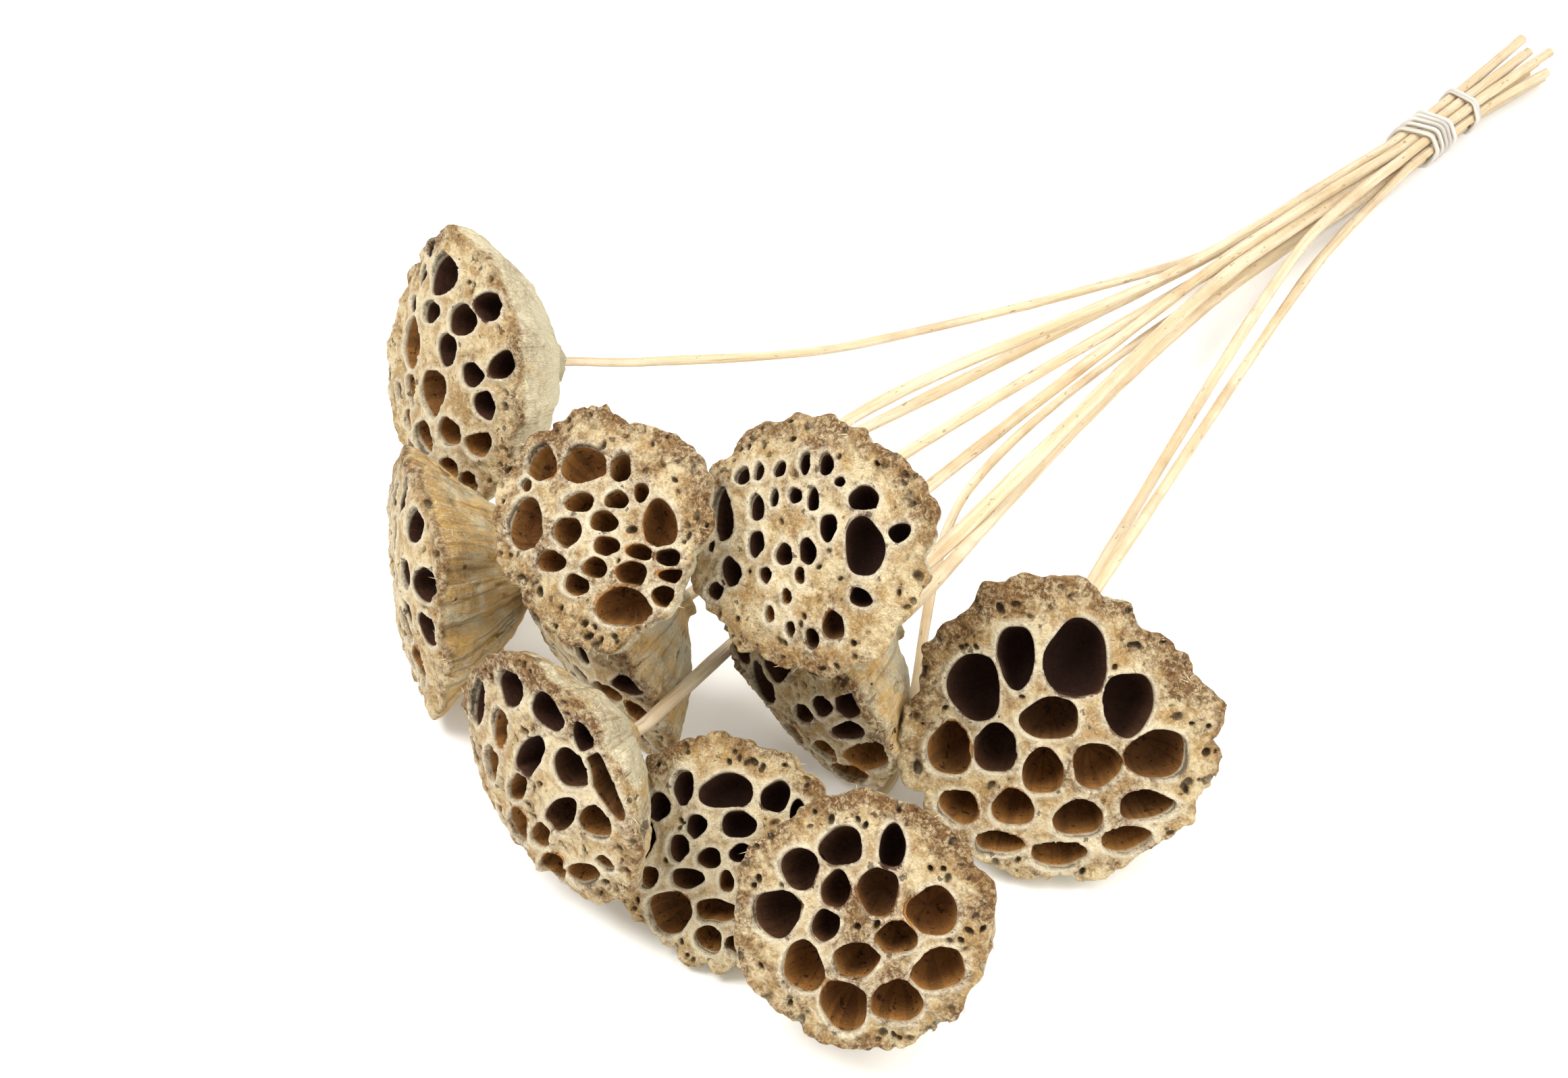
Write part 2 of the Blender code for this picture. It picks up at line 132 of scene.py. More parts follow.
addCamera(cameraSpec)
addStudio(studioSpec)
print("camera, light and floor ready")


# short ways to add and join nodes in one tree
class NodeBench:
    def __init__(self, tree):
        self.tree = tree

    def feed(self, socket, value):
        if isinstance(value, bpy.types.NodeSocket):
            self.tree.links.new(value, socket)
        else:
            socket.default_value = value

    def add(self, kind, inputs=None, **settings):
        node = self.tree.nodes.new(kind)
        for key, value in settings.items():
            setattr(node, key, value)
        for key, value in (inputs or {}).items():
            self.feed(node.inputs[key], value)
        return node

    def group(self, group, inputs):
        return self.add("ShaderNodeGroup", inputs, node_tree=group).outputs

    def attribute(self, name, output="Fac"):
        return self.add("ShaderNodeAttribute", attribute_name=name).outputs[output]

    def vector(self, x, y, z):
        return self.add("ShaderNodeCombineXYZ", {"X": x, "Y": y, "Z": z}).outputs[0]

    def noise(self, vector, scale, detail=3.0, rough=0.55, warp=0.0):
        return self.add("ShaderNodeTexNoise", {
            "Vector": vector, "Scale": scale, "Detail": detail, "Roughness": rough,
            "Distortion": warp}).outputs["Fac"]

    def place(self):
        return self.add("ShaderNodeTexCoord").outputs["Object"]

    def stretch(self, vector, scale):
        return self.add("ShaderNodeMapping", {"Vector": vector, "Scale": scale}).outputs["Vector"]

    def span(self, value, low, high, toLow=0.0, toHigh=1.0):
        return self.add("ShaderNodeMapRange", {
            "Value": value, "From Min": low, "From Max": high, "To Min": toLow, "To Max": toHigh},
            interpolation_type="SMOOTHSTEP").outputs["Result"]

    def math(self, operation, *values):
        return self.add("ShaderNodeMath", dict(enumerate(values)), operation=operation).outputs[0]

    def times(self, first, second):
        return self.math("MULTIPLY", first, second)

    def plus(self, first, second):
        return self.math("ADD", first, second)

    def minus(self, first, second):
        return self.math("SUBTRACT", first, second)

    def vectorMath(self, operation, *values):
        return self.add("ShaderNodeVectorMath", dict(enumerate(values)), operation=operation).outputs[0]

    def mix(self, share, first, second):
        return self.add("ShaderNodeMix", {0: share, 6: first, 7: second}, data_type="RGBA").outputs[2]

    def cells(self, vector, scale, channel):
        # cells of uneven shape: the distance to each middle and a random value for each
        voronoi = self.add("ShaderNodeTexVoronoi", {"Vector": vector, "Scale": scale, "Randomness": 1.0})
        split = self.add("ShaderNodeSeparateColor", {"Color": voronoi.outputs["Color"]})
        return voronoi.outputs["Distance"], split.outputs[channel]

    def bump(self, height, strength, distance, normal=None):
        node = self.add("ShaderNodeBump", {"Height": height, "Strength": strength, "Distance": distance})
        if normal is not None:
            self.feed(node.inputs["Normal"], normal)
        return node.outputs["Normal"]

    def keep(self, geometry, label, value):
        # holds a value on the geometry as it is at this point
        node = self.add("GeometryNodeCaptureAttribute", {"Geometry": geometry})
        node.capture_items.new("FLOAT", label)
        self.feed(node.inputs[label], value)
        return node.outputs["Geometry"], node.outputs[label]

    def close(self, geometry, given, result):
        # a Geometry Nodes tree ends in real geometry in the material it is given
        real = self.add("GeometryNodeRealizeInstances", {"Geometry": geometry})
        dressed = self.add("GeometryNodeSetMaterial", {
            "Geometry": real.outputs["Geometry"], "Material": given["Material"]})
        self.feed(result.inputs["Geometry"], dressed.outputs["Geometry"])


def newTree(name, inputs, outputs, kind="ShaderNodeTree"):
    # each input has its starting value, or the kind of its socket where it has none
    kinds = {float: "Float", int: "Int", tuple: "Vector"}
    tree = bpy.data.node_groups.new(name, kind)
    for label, value in inputs.items():
        named = value if isinstance(value, str) else kinds[type(value)]
        socket = tree.interface.new_socket(label, in_out="INPUT", socket_type="NodeSocket" + named)
        if named != value:
            socket.default_value = value
    for label, named in outputs.items():
        tree.interface.new_socket(label, in_out="OUTPUT", socket_type="NodeSocket" + named)
    bench = NodeBench(tree)
    return tree, bench, bench.add("NodeGroupInput").outputs, bench.add("NodeGroupOutput")


def newMaterial(name):
    material = bpy.data.materials.new(name)
    material.use_nodes = True
    bench = NodeBench(material.node_tree)
    return material, bench, material.node_tree.nodes["Principled BSDF"].inputs


# shader groups that the finishes share
def buildFibreGrain():
    # long fibres: one direction of the vector is drawn out before the noise reads it
    group, bench, given, result = newTree(
        "fibreGrain", {"Vector": "Vector", "Scale": 900.0, "Drawn Out": (1.0, 1.0, 0.06)},
        {"Fibre": "Float", "Coarse": "Float"})
    along = bench.vectorMath("MULTIPLY", given["Vector"], given["Drawn Out"])
    bench.feed(result.inputs["Fibre"], bench.noise(along, given["Scale"], 4.0, 0.6))
    bench.feed(result.inputs["Coarse"], bench.noise(along, bench.times(given["Scale"], 0.3), 2.0, 0.5))
    return group


def buildSpongeGrain():
    # a dry spongy skin: lumps, fine wrinkles and scattered pores
    group, bench, given, result = newTree(
        "spongeGrain", {"Vector": "Vector", "Pore Scale": 520.0},
        {"Height": "Float", "Pores": "Float", "Specks": "Float"})
    vector = given["Vector"]
    lumps = bench.noise(vector, 420.0, 5.0, 0.62, 0.4)
    wrinkles = bench.noise(vector, 1500.0, 4.0, 0.65, 1.2)
    ragged = bench.add("ShaderNodeTexNoise", {"Vector": vector, "Scale": 900.0, "Detail": 3.0})
    bent = bench.vectorMath("SUBTRACT", ragged.outputs["Color"], (0.5, 0.5, 0.5))
    bent = bench.vectorMath("MULTIPLY_ADD", bent, (0.0028, 0.0028, 0.0028), vector)
    distance, picked = bench.cells(bent, given["Pore Scale"], "Red")
    wanted = bench.span(picked, 0.83, 0.86)
    size = bench.span(picked, 0.84, 1.0, 0.1, 0.36)
    pores = bench.times(bench.math("LESS_THAN", distance, size), wanted)
    height = bench.plus(bench.times(lumps, 0.65), bench.times(wrinkles, 0.35))
    bench.feed(result.inputs["Height"], bench.minus(height, bench.times(pores, 0.45)))
    bench.feed(result.inputs["Pores"], pores)
    bench.feed(result.inputs["Specks"], bench.span(bench.noise(vector, 2600.0, 2.0, 0.5), 0.58, 0.7))
    return group


def buildStains():
    # weathered patches, stronger where Mask is high
    group, bench, given, result = newTree(
        "weatherStains", {"Vector": "Vector", "Mask": 0.0, "Amount": 0.5}, {"Stain": "Float"})
    broad = bench.noise(given["Vector"], 70.0, 5.0, 0.6, 0.6)
    broken = bench.noise(given["Vector"], 380.0, 4.0, 0.65, 0.8)
    field = bench.plus(bench.times(broad, 0.6), bench.times(broken, 0.4))
    field = bench.plus(field, bench.times(given["Mask"], 0.16))
    field = bench.plus(field, bench.times(given["Amount"], 0.14))
    bench.feed(result.inputs["Stain"], bench.span(field, 0.55, 0.74))
    return group


fibreGrain = buildFibreGrain()
spongeGrain = buildSpongeGrain()
weatherStains = buildStains()
print("shared shader groups ready")


# the seed pods
# Each pod: centre of its rim in mm, heading and lift of the face in degrees, depth to the end
# of the stub, rim radius every 30 degrees, and cavities as (across, up, long, short, turn).
podSpecs = {
    "pod_1": {
        "centre": (-91, -155, 79), "heading": -107, "lift": 20, "depth": 40.5,
        "rim": (44, 42, 41, 42, 45, 42, 42, 46, 47, 47, 46, 46),
        "cavities": (
            (-12.5, 27, 14.5, 13.5, 40), (-24.5, 20.5, 7, 5.5, 110), (-25, 9.5, 8, 5.5, 30),
            (-11, 14, 11.5, 7.5, 30), (6.5, 20.5, 13.5, 10, 30), (-20.5, -2.5, 16.5, 15.5, 80),
            (4, 8.5, 11.5, 10.5, 50), (1.5, -9.5, 16.5, 15, 70), (-34, -24.5, 8.5, 5, 115),
            (-25, -24.5, 6.5, 5, 110), (-14, -17.5, 10.5, 8, 110), (-14, -29.5, 8, 7, 45),
            (0, -27.5, 14.5, 10.5, 40), (15.5, -16, 15, 9, 35), (29, 2, 9.5, 9, 85),
            (30, -12.5, 13, 7.5, 35), (17.5, -29, 13, 7, 35), (15, 30.5, 12, 9, 20), (-8, -38, 9, 7, 0),
            (28, -28, 9, 7, 40), (20, 8, 10, 8, 30), (-26.5, 29, 6, 5, 0), (30.5, 17.5, 11, 8, 60),
        ),
    },
    "pod_2": {
        "centre": (23, -204, 103.5), "heading": -84, "lift": 51, "depth": 35,
        "rim": (32, 35, 35, 33, 37, 37, 36, 31, 29, 32, 36, 34),
        "cavities": (
            (-24.5, 10.5, 12.5, 9, 145), (-11, 15, 14.5, 11.5, 5), (0.5, 18.5, 9, 6, 125),
            (-19.5, -7.5, 15.5, 12, 135), (-6, 4.5, 9, 6, 15), (4.5, 9.5, 7.5, 5, 15),
            (10, 14.5, 6, 4, 125), (4, 2.5, 8.5, 6, 15), (8, -3.5, 7.5, 5.5, 15),
            (-5, -4.5, 9.5, 8.5, 160), (19.5, 8.5, 13, 9.5, 125), (18, -1, 7.5, 4.5, 20),
            (-6, -14, 10, 6, 20), (7.5, -10.5, 7.5, 5.5, 15), (18.5, -7.5, 8.5, 7, 10),
            (26, 1, 6.5, 5, 15), (30, -3, 8, 4, 20), (4.5, -17, 7.5, 6, 5), (20.5, -17, 16.5, 10, 20),
            (30, -9.5, 8, 5.5, 15), (-25.5, 3, 4.5, 3.5, 155),
        ),
    },
    "pod_3": {
        "centre": (73, -169.5, 101.5), "heading": -84, "lift": 42, "depth": 36,
        "rim": (36, 38, 37, 36, 38, 39, 39, 38, 36, 35, 37, 38),
        "cavities": (
            (-27.5, -1.5, 15, 7.5, 115), (-18.5, -15.5, 8.5, 7.5, 125), (17.5, 6.5, 16, 10.5, 115),
            (11.5, 19, 8.5, 6.5, 20), (17.5, -17.5, 7.5, 6.5, 120), (-17.5, 4.5, 7, 5, 120),
            (-13.5, -5, 7.5, 5.5, 115), (-13, 9, 5, 3, 115), (-7.5, 12, 4.5, 4, 135),
            (-2, 13, 6.5, 3.5, 115), (-26, 11, 5.5, 5, 130), (-21.5, 14, 5.5, 3.5, 115),
            (-15.5, 17, 5, 4, 125), (-9, 21.5, 6.5, 3.5, 115), (-3, 23.5, 6.5, 4, 115),
            (3, 20.5, 3, 3, 145), (5.5, 7.5, 7.5, 5, 115), (-4, -4.5, 6, 5, 120),
            (2.5, -1, 7.5, 5, 115), (-7, -12, 4.5, 4, 125), (3, -8, 5, 3, 115), (1.5, -15, 4.5, 3, 115),
            (-1.5, -21.5, 4.5, 3, 115), (6, -23, 4.5, 3, 115), (13, -23, 6, 4, 115), (22, -7, 6, 5, 0),
            (25, 14, 6, 5, 60), (-21.5, -22.5, 6, 5, 40), (-28, -10.5, 4.5, 3, 100),
        ),
    },
    "pod_4": {
        "centre": (-56, -209, 42.5), "heading": -121, "lift": 8, "depth": 44,
        "rim": (40, 41, 42, 40, 39, 41, 43, 41, 39, 40, 42, 41),
        "cavities": (
            (1, -1, 11, 9, 20), (14.5, -2, 9.5, 8, 170), (10, 10.5, 10, 9, 50),
            (-10, 10.5, 11.5, 8.5, 135), (-14.5, 2, 11, 7.5, 170), (-9.5, -11, 10, 8.5, 50),
            (10, -10.5, 11.5, 8.5, 135), (29, 3, 11.5, 9.5, 5), (24, 17, 13.5, 11, 35),
            (8.5, 28, 11, 10.5, 75), (-6, 28.5, 12.5, 9, 100), (-19, 22, 11, 11, 130),
            (-28.5, 4.5, 12.5, 9.5, 170), (-26.5, -12, 13, 11, 25), (-16.5, -24, 12.5, 10, 55),
            (-3, -29, 12, 9, 85), (10.5, -27, 13.5, 9, 110), (21.5, -19.5, 13, 9.5, 140),
        ),
    },
    "pod_5": {
        "centre": (11, -197, 37), "heading": -100, "lift": -11, "depth": 36,
        "rim": (33, 33, 36, 36, 34, 36, 37, 35, 36, 37, 35, 34),
        "cavities": (
            (1, -1, 11, 9, 20), (12.5, 1, 10.5, 8.5, 5), (4, 12.5, 8.5, 6, 75), (-3.5, 12.5, 8, 6, 105),
            (-12.5, -1, 11, 7, 5), (-6.5, -11, 9, 8, 60), (7, -10.5, 8.5, 7.5, 125),
            (25.5, -2, 12, 9, 175), (23, 11, 11.5, 7.5, 25), (9.5, 23.5, 9.5, 7.5, 70),
            (-7, 24.5, 9.5, 8, 105), (-19.5, 16.5, 11.5, 8, 140), (-25.5, 3.5, 10, 7.5, 175),
            (-25, -5, 11, 7.5, 10), (-13.5, -21.5, 11.5, 8, 60), (-5, -25, 9.5, 7.5, 80),
            (7, -24.5, 10, 8.5, 105), (19, -17, 11, 8, 140),
        ),
    },
    "pod_6": {
        "centre": (43.5, -250, 50), "heading": -94, "lift": 7, "depth": 32,
        "rim": (37, 36, 38, 37, 39, 38, 36, 35, 34, 35, 37, 38),
        "cavities": (
            (-27, 13.5, 14.5, 8, 90), (-16.5, 11.5, 13.5, 6.5, 85), (-2, 11.5, 18, 8, 65),
            (-19, -3, 14, 7, 80), (-7, -4, 14, 6, 65), (12, -0.5, 18.5, 8, 60),
            (-8, -20.5, 16.5, 8.5, 70), (2.5, -16.5, 15.5, 6.5, 60), (19.5, -19.5, 17, 7.5, 50),
            (6, -28, 17, 8.5, 55), (14, 17, 13, 11, 30), (-14, 27, 12, 9, 10), (2, 29, 13, 9, 0),
            (24, 4, 12, 9.5, 60), (-30, -7.5, 9, 5, 100), (16, 28, 9, 7, 140), (27.5, -9.5, 7, 5.5, 60),
            (-16.5, -24.5, 8, 5, 150), (25, 18, 21, 7.5, 126),
        ),
    },
    "pod_7": {
        "centre": (70.5, -166.5, 36.5), "heading": -96, "lift": -12, "depth": 38,
        "rim": (36, 37, 36, 35, 37, 34, 34, 35, 36, 36, 35, 36),
        "cavities": (
            (-27.5, 7.5, 21, 11.5, 60), (-5.5, 18, 20, 10, 65), (-16.5, -2.5, 25.5, 12.5, 70),
            (-31, -9, 10, 5.5, 75), (13, 12, 13.5, 6, 60), (4, 1.5, 14, 6.5, 60),
            (-7.5, -22, 16.5, 9, 55), (21.5, 5.5, 14, 7, 45), (9, -14.5, 15.5, 8, 55),
            (27.5, -3.5, 22, 11, 50), (15.5, -23.5, 20, 10, 50), (-17.5, 25.5, 10, 8, 20),
            (8, 28, 12, 9, 0), (22.5, 18.5, 11.5, 8.5, 60), (-2.5, -30.5, 10.5, 7.5, 0),
            (-25, -20.5, 9, 7, 130),
        ),
    },
    "pod_8": {
        "centre": (87, -224, 28.5), "heading": -77, "lift": 42, "depth": 33.5,
        "rim": (34, 35, 35, 34, 35, 36, 36, 35, 33, 33, 33, 34),
        "cavities": (
            (-17, 14.5, 9.5, 7, 110), (-23, 6.5, 8.5, 7.5, 105), (-4, 18, 16.5, 9.5, 20),
            (10.5, 21.5, 8.5, 8, 90), (18, 19.5, 6.5, 4.5, 110), (-25, -5, 12.5, 10.5, 105),
            (-9, 5.5, 7, 6.5, 105), (-12, -2, 7.5, 7, 105), (-2, -1.5, 7, 6, 25),
            (3, 10.5, 10, 7.5, 20), (6.5, 3, 7, 5, 20), (-19, -13.5, 8.5, 6, 20), (-7, -9.5, 10, 6, 20),
            (5, -6, 6, 4.5, 105), (-9.5, -21, 13.5, 12.5, 35), (4.5, -15, 12.5, 7, 20),
            (4.5, -23.5, 8.5, 8, 45), (13.5, -22, 8, 6, 25), (24, -5, 8, 6, 80), (26, 7, 7, 6, 60),
        ),
    },
    "pod_9": {
        "centre": (142, -229.5, 46), "heading": -66, "lift": 36, "depth": 35,
        "rim": (35, 36, 36, 37, 37, 37, 37, 37, 36, 36, 34, 35),
        "cavities": (
            (-9, 20.5, 11.5, 10, 20), (4.5, 23.5, 10.5, 7, 95), (-19.5, 12, 11, 10, 85),
            (-8.5, 9, 9.5, 7.5, 90), (3, 11, 12.5, 10, 85), (18.5, 8.5, 13, 12, 50),
            (-23.5, -1.5, 14, 12, 20), (-9.5, -1.5, 8.5, 7.5, 75), (10, -0.5, 11.5, 8, 15),
            (-13.5, -14, 14, 12, 85), (0.5, -8.5, 12, 10, 30), (22.5, -7, 13.5, 11.5, 25),
            (-1, -22.5, 14.5, 13, 90), (13, -18, 13.5, 12, 40),
        ),
    },
    "pod_10": {
        "centre": (142, -136, 45), "heading": -55, "lift": 30, "depth": 41.5,
        "rim": (47, 43, 41, 45, 47, 47, 47, 48, 46, 47, 45, 46),
        "cavities": (
            (-26.5, 13.5, 19.5, 15, 95), (-15, 23.5, 17, 11, 95), (2.5, 24, 21.5, 17.5, 95),
            (18.5, 11.5, 17.5, 15, 95), (-4, 6, 16, 12.5, 5), (-33, -6.5, 15, 13, 90),
            (-19.5, -4.5, 14.5, 12.5, 95), (-5, -10.5, 13.5, 12, 95), (10.5, -7.5, 14, 13, 95),
            (28, -3.5, 17, 15, 0), (-29, -24, 11.5, 11, 10), (-13, -23, 12.5, 11, 5),
            (6.5, -24.5, 14.5, 11.5, 5), (26, -19.5, 15.5, 9.5, 5), (-16.5, -34.5, 13.5, 7.5, 5),
            (1.5, -36.5, 16, 9, 5), (21, -30.5, 14.5, 8.5, 5),
        ),
    },
}

podForm = {
    "crown": 0.14,        # height of the face's middle above the rim, as a share of its radius
    "focus": 1.7,         # cavities lean towards a point this many rim radii below the rim
    "cell": 0.0155,       # mesh cell, as a share of the rim radius
    "cavityDepth": 0.34,  # share of the rim radius
    "cavityGrow": 1.04,   # the open mouth against its listed size
    "septum": 0.9,        # mm of wall that always stays between two cavities
    "husk": 1.2,          # mm of skin that stays between a cavity and the funnel
    "rimRound": 1.1,      # mm, how softly the face turns into the side
    "lipRound": 0.4,
    "lipHeight": 0.9,
    "lump": 13,           # mm between the broad lumps of the face
    "wrinkle": 0.75,      # mm deep, least in the middle of the face
    "pits": 50,
    "pitWidths": (0.75, 0.9, 1.1, 1.5),
    "pitShares": (0.5, 0.3, 0.15, 0.05),
    "sideFlecks": 60,
    "bulge": 0.17,
}

# from the stub up to the rim: share of the funnel's depth, share of the rim radius
funnelLine = ((-1.1, 0.13), (-1.0, 0.15), (-0.955, 0.165), (-0.92, 0.13), (-0.86, 0.2), (-0.77, 0.35),
              (-0.66, 0.5), (-0.56, 0.61), (-0.44, 0.72), (-0.32, 0.82), (-0.22, 0.9), (-0.13, 0.955),
              (-0.03, 0.99), (0.1, 1.0), (0.5, 0.98))

# scallops of the rim as (how many, mm high), folds of the funnel as (round it, up it, share of its
# radius), and the lumps of the whole husk as (mm apart, mm high)
rimScallops = ((7, 0.8), (11, 0.9), (16, 0.8), (23, 0.4), (37, 0.22), (58, 0.13))
funnelFolds = ((6, 2, 0.05), (11, 3, 0.045), (23, 4, 0.024), (47, 5, 0.014), (90, 6, 0.01), (170, 7, 0.006))
huskLumps = ((6.0, 0.45), (2.8, 0.42), (1.4, 0.24))
foldSteps = 1440          # steps round the funnel that the folds are worked out on
wholeTurn = 6.28

# per pod: how warm its colour is, how stained, how folded its funnel, how ragged its rim, how full
# the funnel bulges, how light the cavities are (partly painted light), how dark the funnel's streaks are,
# and a seed
lookNames = ("warmth", "stain", "folds", "ragged", "bulge", "light", "streaks", "seed")
podLooks = {name: dict(zip(lookNames, look)) for name, look in {
    "pod_1": (0.1, 0.15, 0.35, 0.6, 0.5, 0.45, 0.1, 11),
    "pod_2": (0.5, 0.85, 0.7, 0.7, 0.35, 0.75, 0.4, 12),
    "pod_3": (0.2, 0.45, 0.6, 0.9, 0.3, 0.15, 0.3, 13),
    "pod_4": (0.9, 0.3, 1.6, 0.9, 0.05, 0.4, 0.5, 14),
    "pod_5": (0.7, 0.35, 1.5, 0.5, 0.25, 0.5, 0.45, 15),
    "pod_6": (0.5, 0.5, 1.0, 0.5, 0.2, 0.6, 0.5, 16),
    "pod_7": (0.6, 0.5, 0.9, 0.6, 0.3, 0.4, 0.4, 17),
    "pod_8": (0.35, 0.35, 0.8, 0.8, 0.3, 0.3, 0.3, 18),
    "pod_9": (0.3, 0.85, 0.8, 0.6, 0.3, 0.6, 0.3, 19),
    "pod_10": (0.35, 0.55, 0.9, 1.1, 0.3, 0.5, 0.4, 20),
}.items()}


def softMax(first, second, blend):
    share = np.clip(0.5 + 0.5 * (first - second) / blend, 0.0, 1.0)
    return second + (first - second) * share + blend * share * (1.0 - share)


def smoothStep(value, low, high):
    share = np.clip((value - low) / (high - low), 0.0, 1.0)
    return share * share * (3.0 - 2.0 * share)


def latticeSteps(place):
    # the lattice row below each place, and a smooth share of the way to the next
    low = place.astype(int)
    share = place - low
    return low, share * share * (3 - 2 * share)


def latticeNoise(shape, cells, dice):
    # random values on a coarse lattice, read smoothly at every grid point
    values = dice.random([count + 2 for count in cells], dtype=np.float32) * 2 - 1
    for axis, (size, count) in enumerate(zip(shape, cells)):
        low, share = latticeSteps(np.linspace(0, count, size, endpoint=False, dtype=np.float32))
        lift = [1] * len(shape)
        lift[axis] = size
        share = share.reshape(lift)
        values = np.take(values, low, axis) * (1 - share) + np.take(values, low + 1, axis) * share
    return values


def ringNoise(turns, heights, around, along, dice):
    # noise over angle and height that closes on itself, turned a little as it climbs
    values = dice.random((around, along + 2), dtype=np.float32) * 2 - 1
    low, share = latticeSteps(np.linspace(0, along, heights, endpoint=False))
    rows = values[:, low] * (1 - share) + values[:, low + 1] * share
    twist = around / 40 * np.sin(np.linspace(0, 3, heights) + dice.uniform(0, wholeTurn))
    place = (np.linspace(0, around, turns, endpoint=False)[:, None] + twist[None, :]) % around
    first, share = latticeSteps(place)
    columns = np.arange(heights)[None, :]
    return rows[first % around, columns] * (1 - share) + rows[(first + 1) % around, columns] * share


def rimRadii(rim, angles, ragged, dice):
    place = (angles / (2 * np.pi) % 1.0) * len(rim)
    first = place.astype(int)
    share = (1 - np.cos(np.pi * (place - first))) / 2
    radii = np.asarray(rim, dtype=float)
    line = radii[first % len(rim)] * (1 - share) + radii[(first + 1) % len(rim)] * share
    for waves, height in rimScallops:
        phase = waves * angles + dice.uniform(0, wholeTurn)
        phase = phase + 1.5 * np.sin(3 * angles + dice.uniform(0, wholeTurn))
        line = line + ragged * height * (np.abs(np.sin(phase / 2)) * 2 - 1.3)
    return line


def cavityFrame(spec, radius, cavity):
    across, up, longWay, shortWay, turn = cavity
    reach = math.hypot(across, up) / radius
    mouth = Vector((across, up, podForm["crown"] * radius * (1 - reach * reach)))
    lean = (mouth - Vector((0, 0, -podForm["focus"] * radius))).normalized()
    stand = Vector((0, 0, 1)).rotation_difference(lean).to_matrix()
    turned = stand @ Matrix.Rotation(math.radians(turn), 3, "Z")
    depth = min(podForm["cavityDepth"] * radius, 1.1 * longWay + 2.0)
    return np.array(mouth), np.array(turned), depth


def cavityShare(u, v, longWay, shortWay, phase):
    # 1 on the cavity's outline, less inside: a rounded, slightly cornered oval
    a, b = longWay / 2 * podForm["cavityGrow"], shortWay / 2 * podForm["cavityGrow"]
    angle = np.arctan2(v / b, u / a)
    wobble = 1 + 0.055 * np.cos(3 * angle + phase) + 0.04 * np.cos(2 * angle + 2.1 * phase)
    wobble = wobble + 0.02 * np.cos(5 * angle - phase)
    return (np.abs(u / a) ** 2.1 + np.abs(v / b) ** 2.1) ** (1 / 2.1) / wobble


def turnedPlace(x, y, turn):
    return x * math.cos(turn) + y * math.sin(turn), -x * math.sin(turn) + y * math.cos(turn)


def cavityLocal(points, mouth, turned):
    local = (points - mouth) @ turned
    return local[..., 0], local[..., 1], -local[..., 2]


def cavityEdge(u, v, down, depth, cavity, phase):
    # distance outside the cavity's wall at a depth, about in mm
    taper = np.interp(down / depth, (-0.5, 0.0, 0.35, 0.7, 0.9, 1.0), (1.03, 1.0, 1.03, 0.9, 0.66, 0.3))
    share = cavityShare(u / taper, v / taper, cavity[2], cavity[3], phase)
    return (share - 1) * min(cavity[2], cavity[3]) / 2 * taper


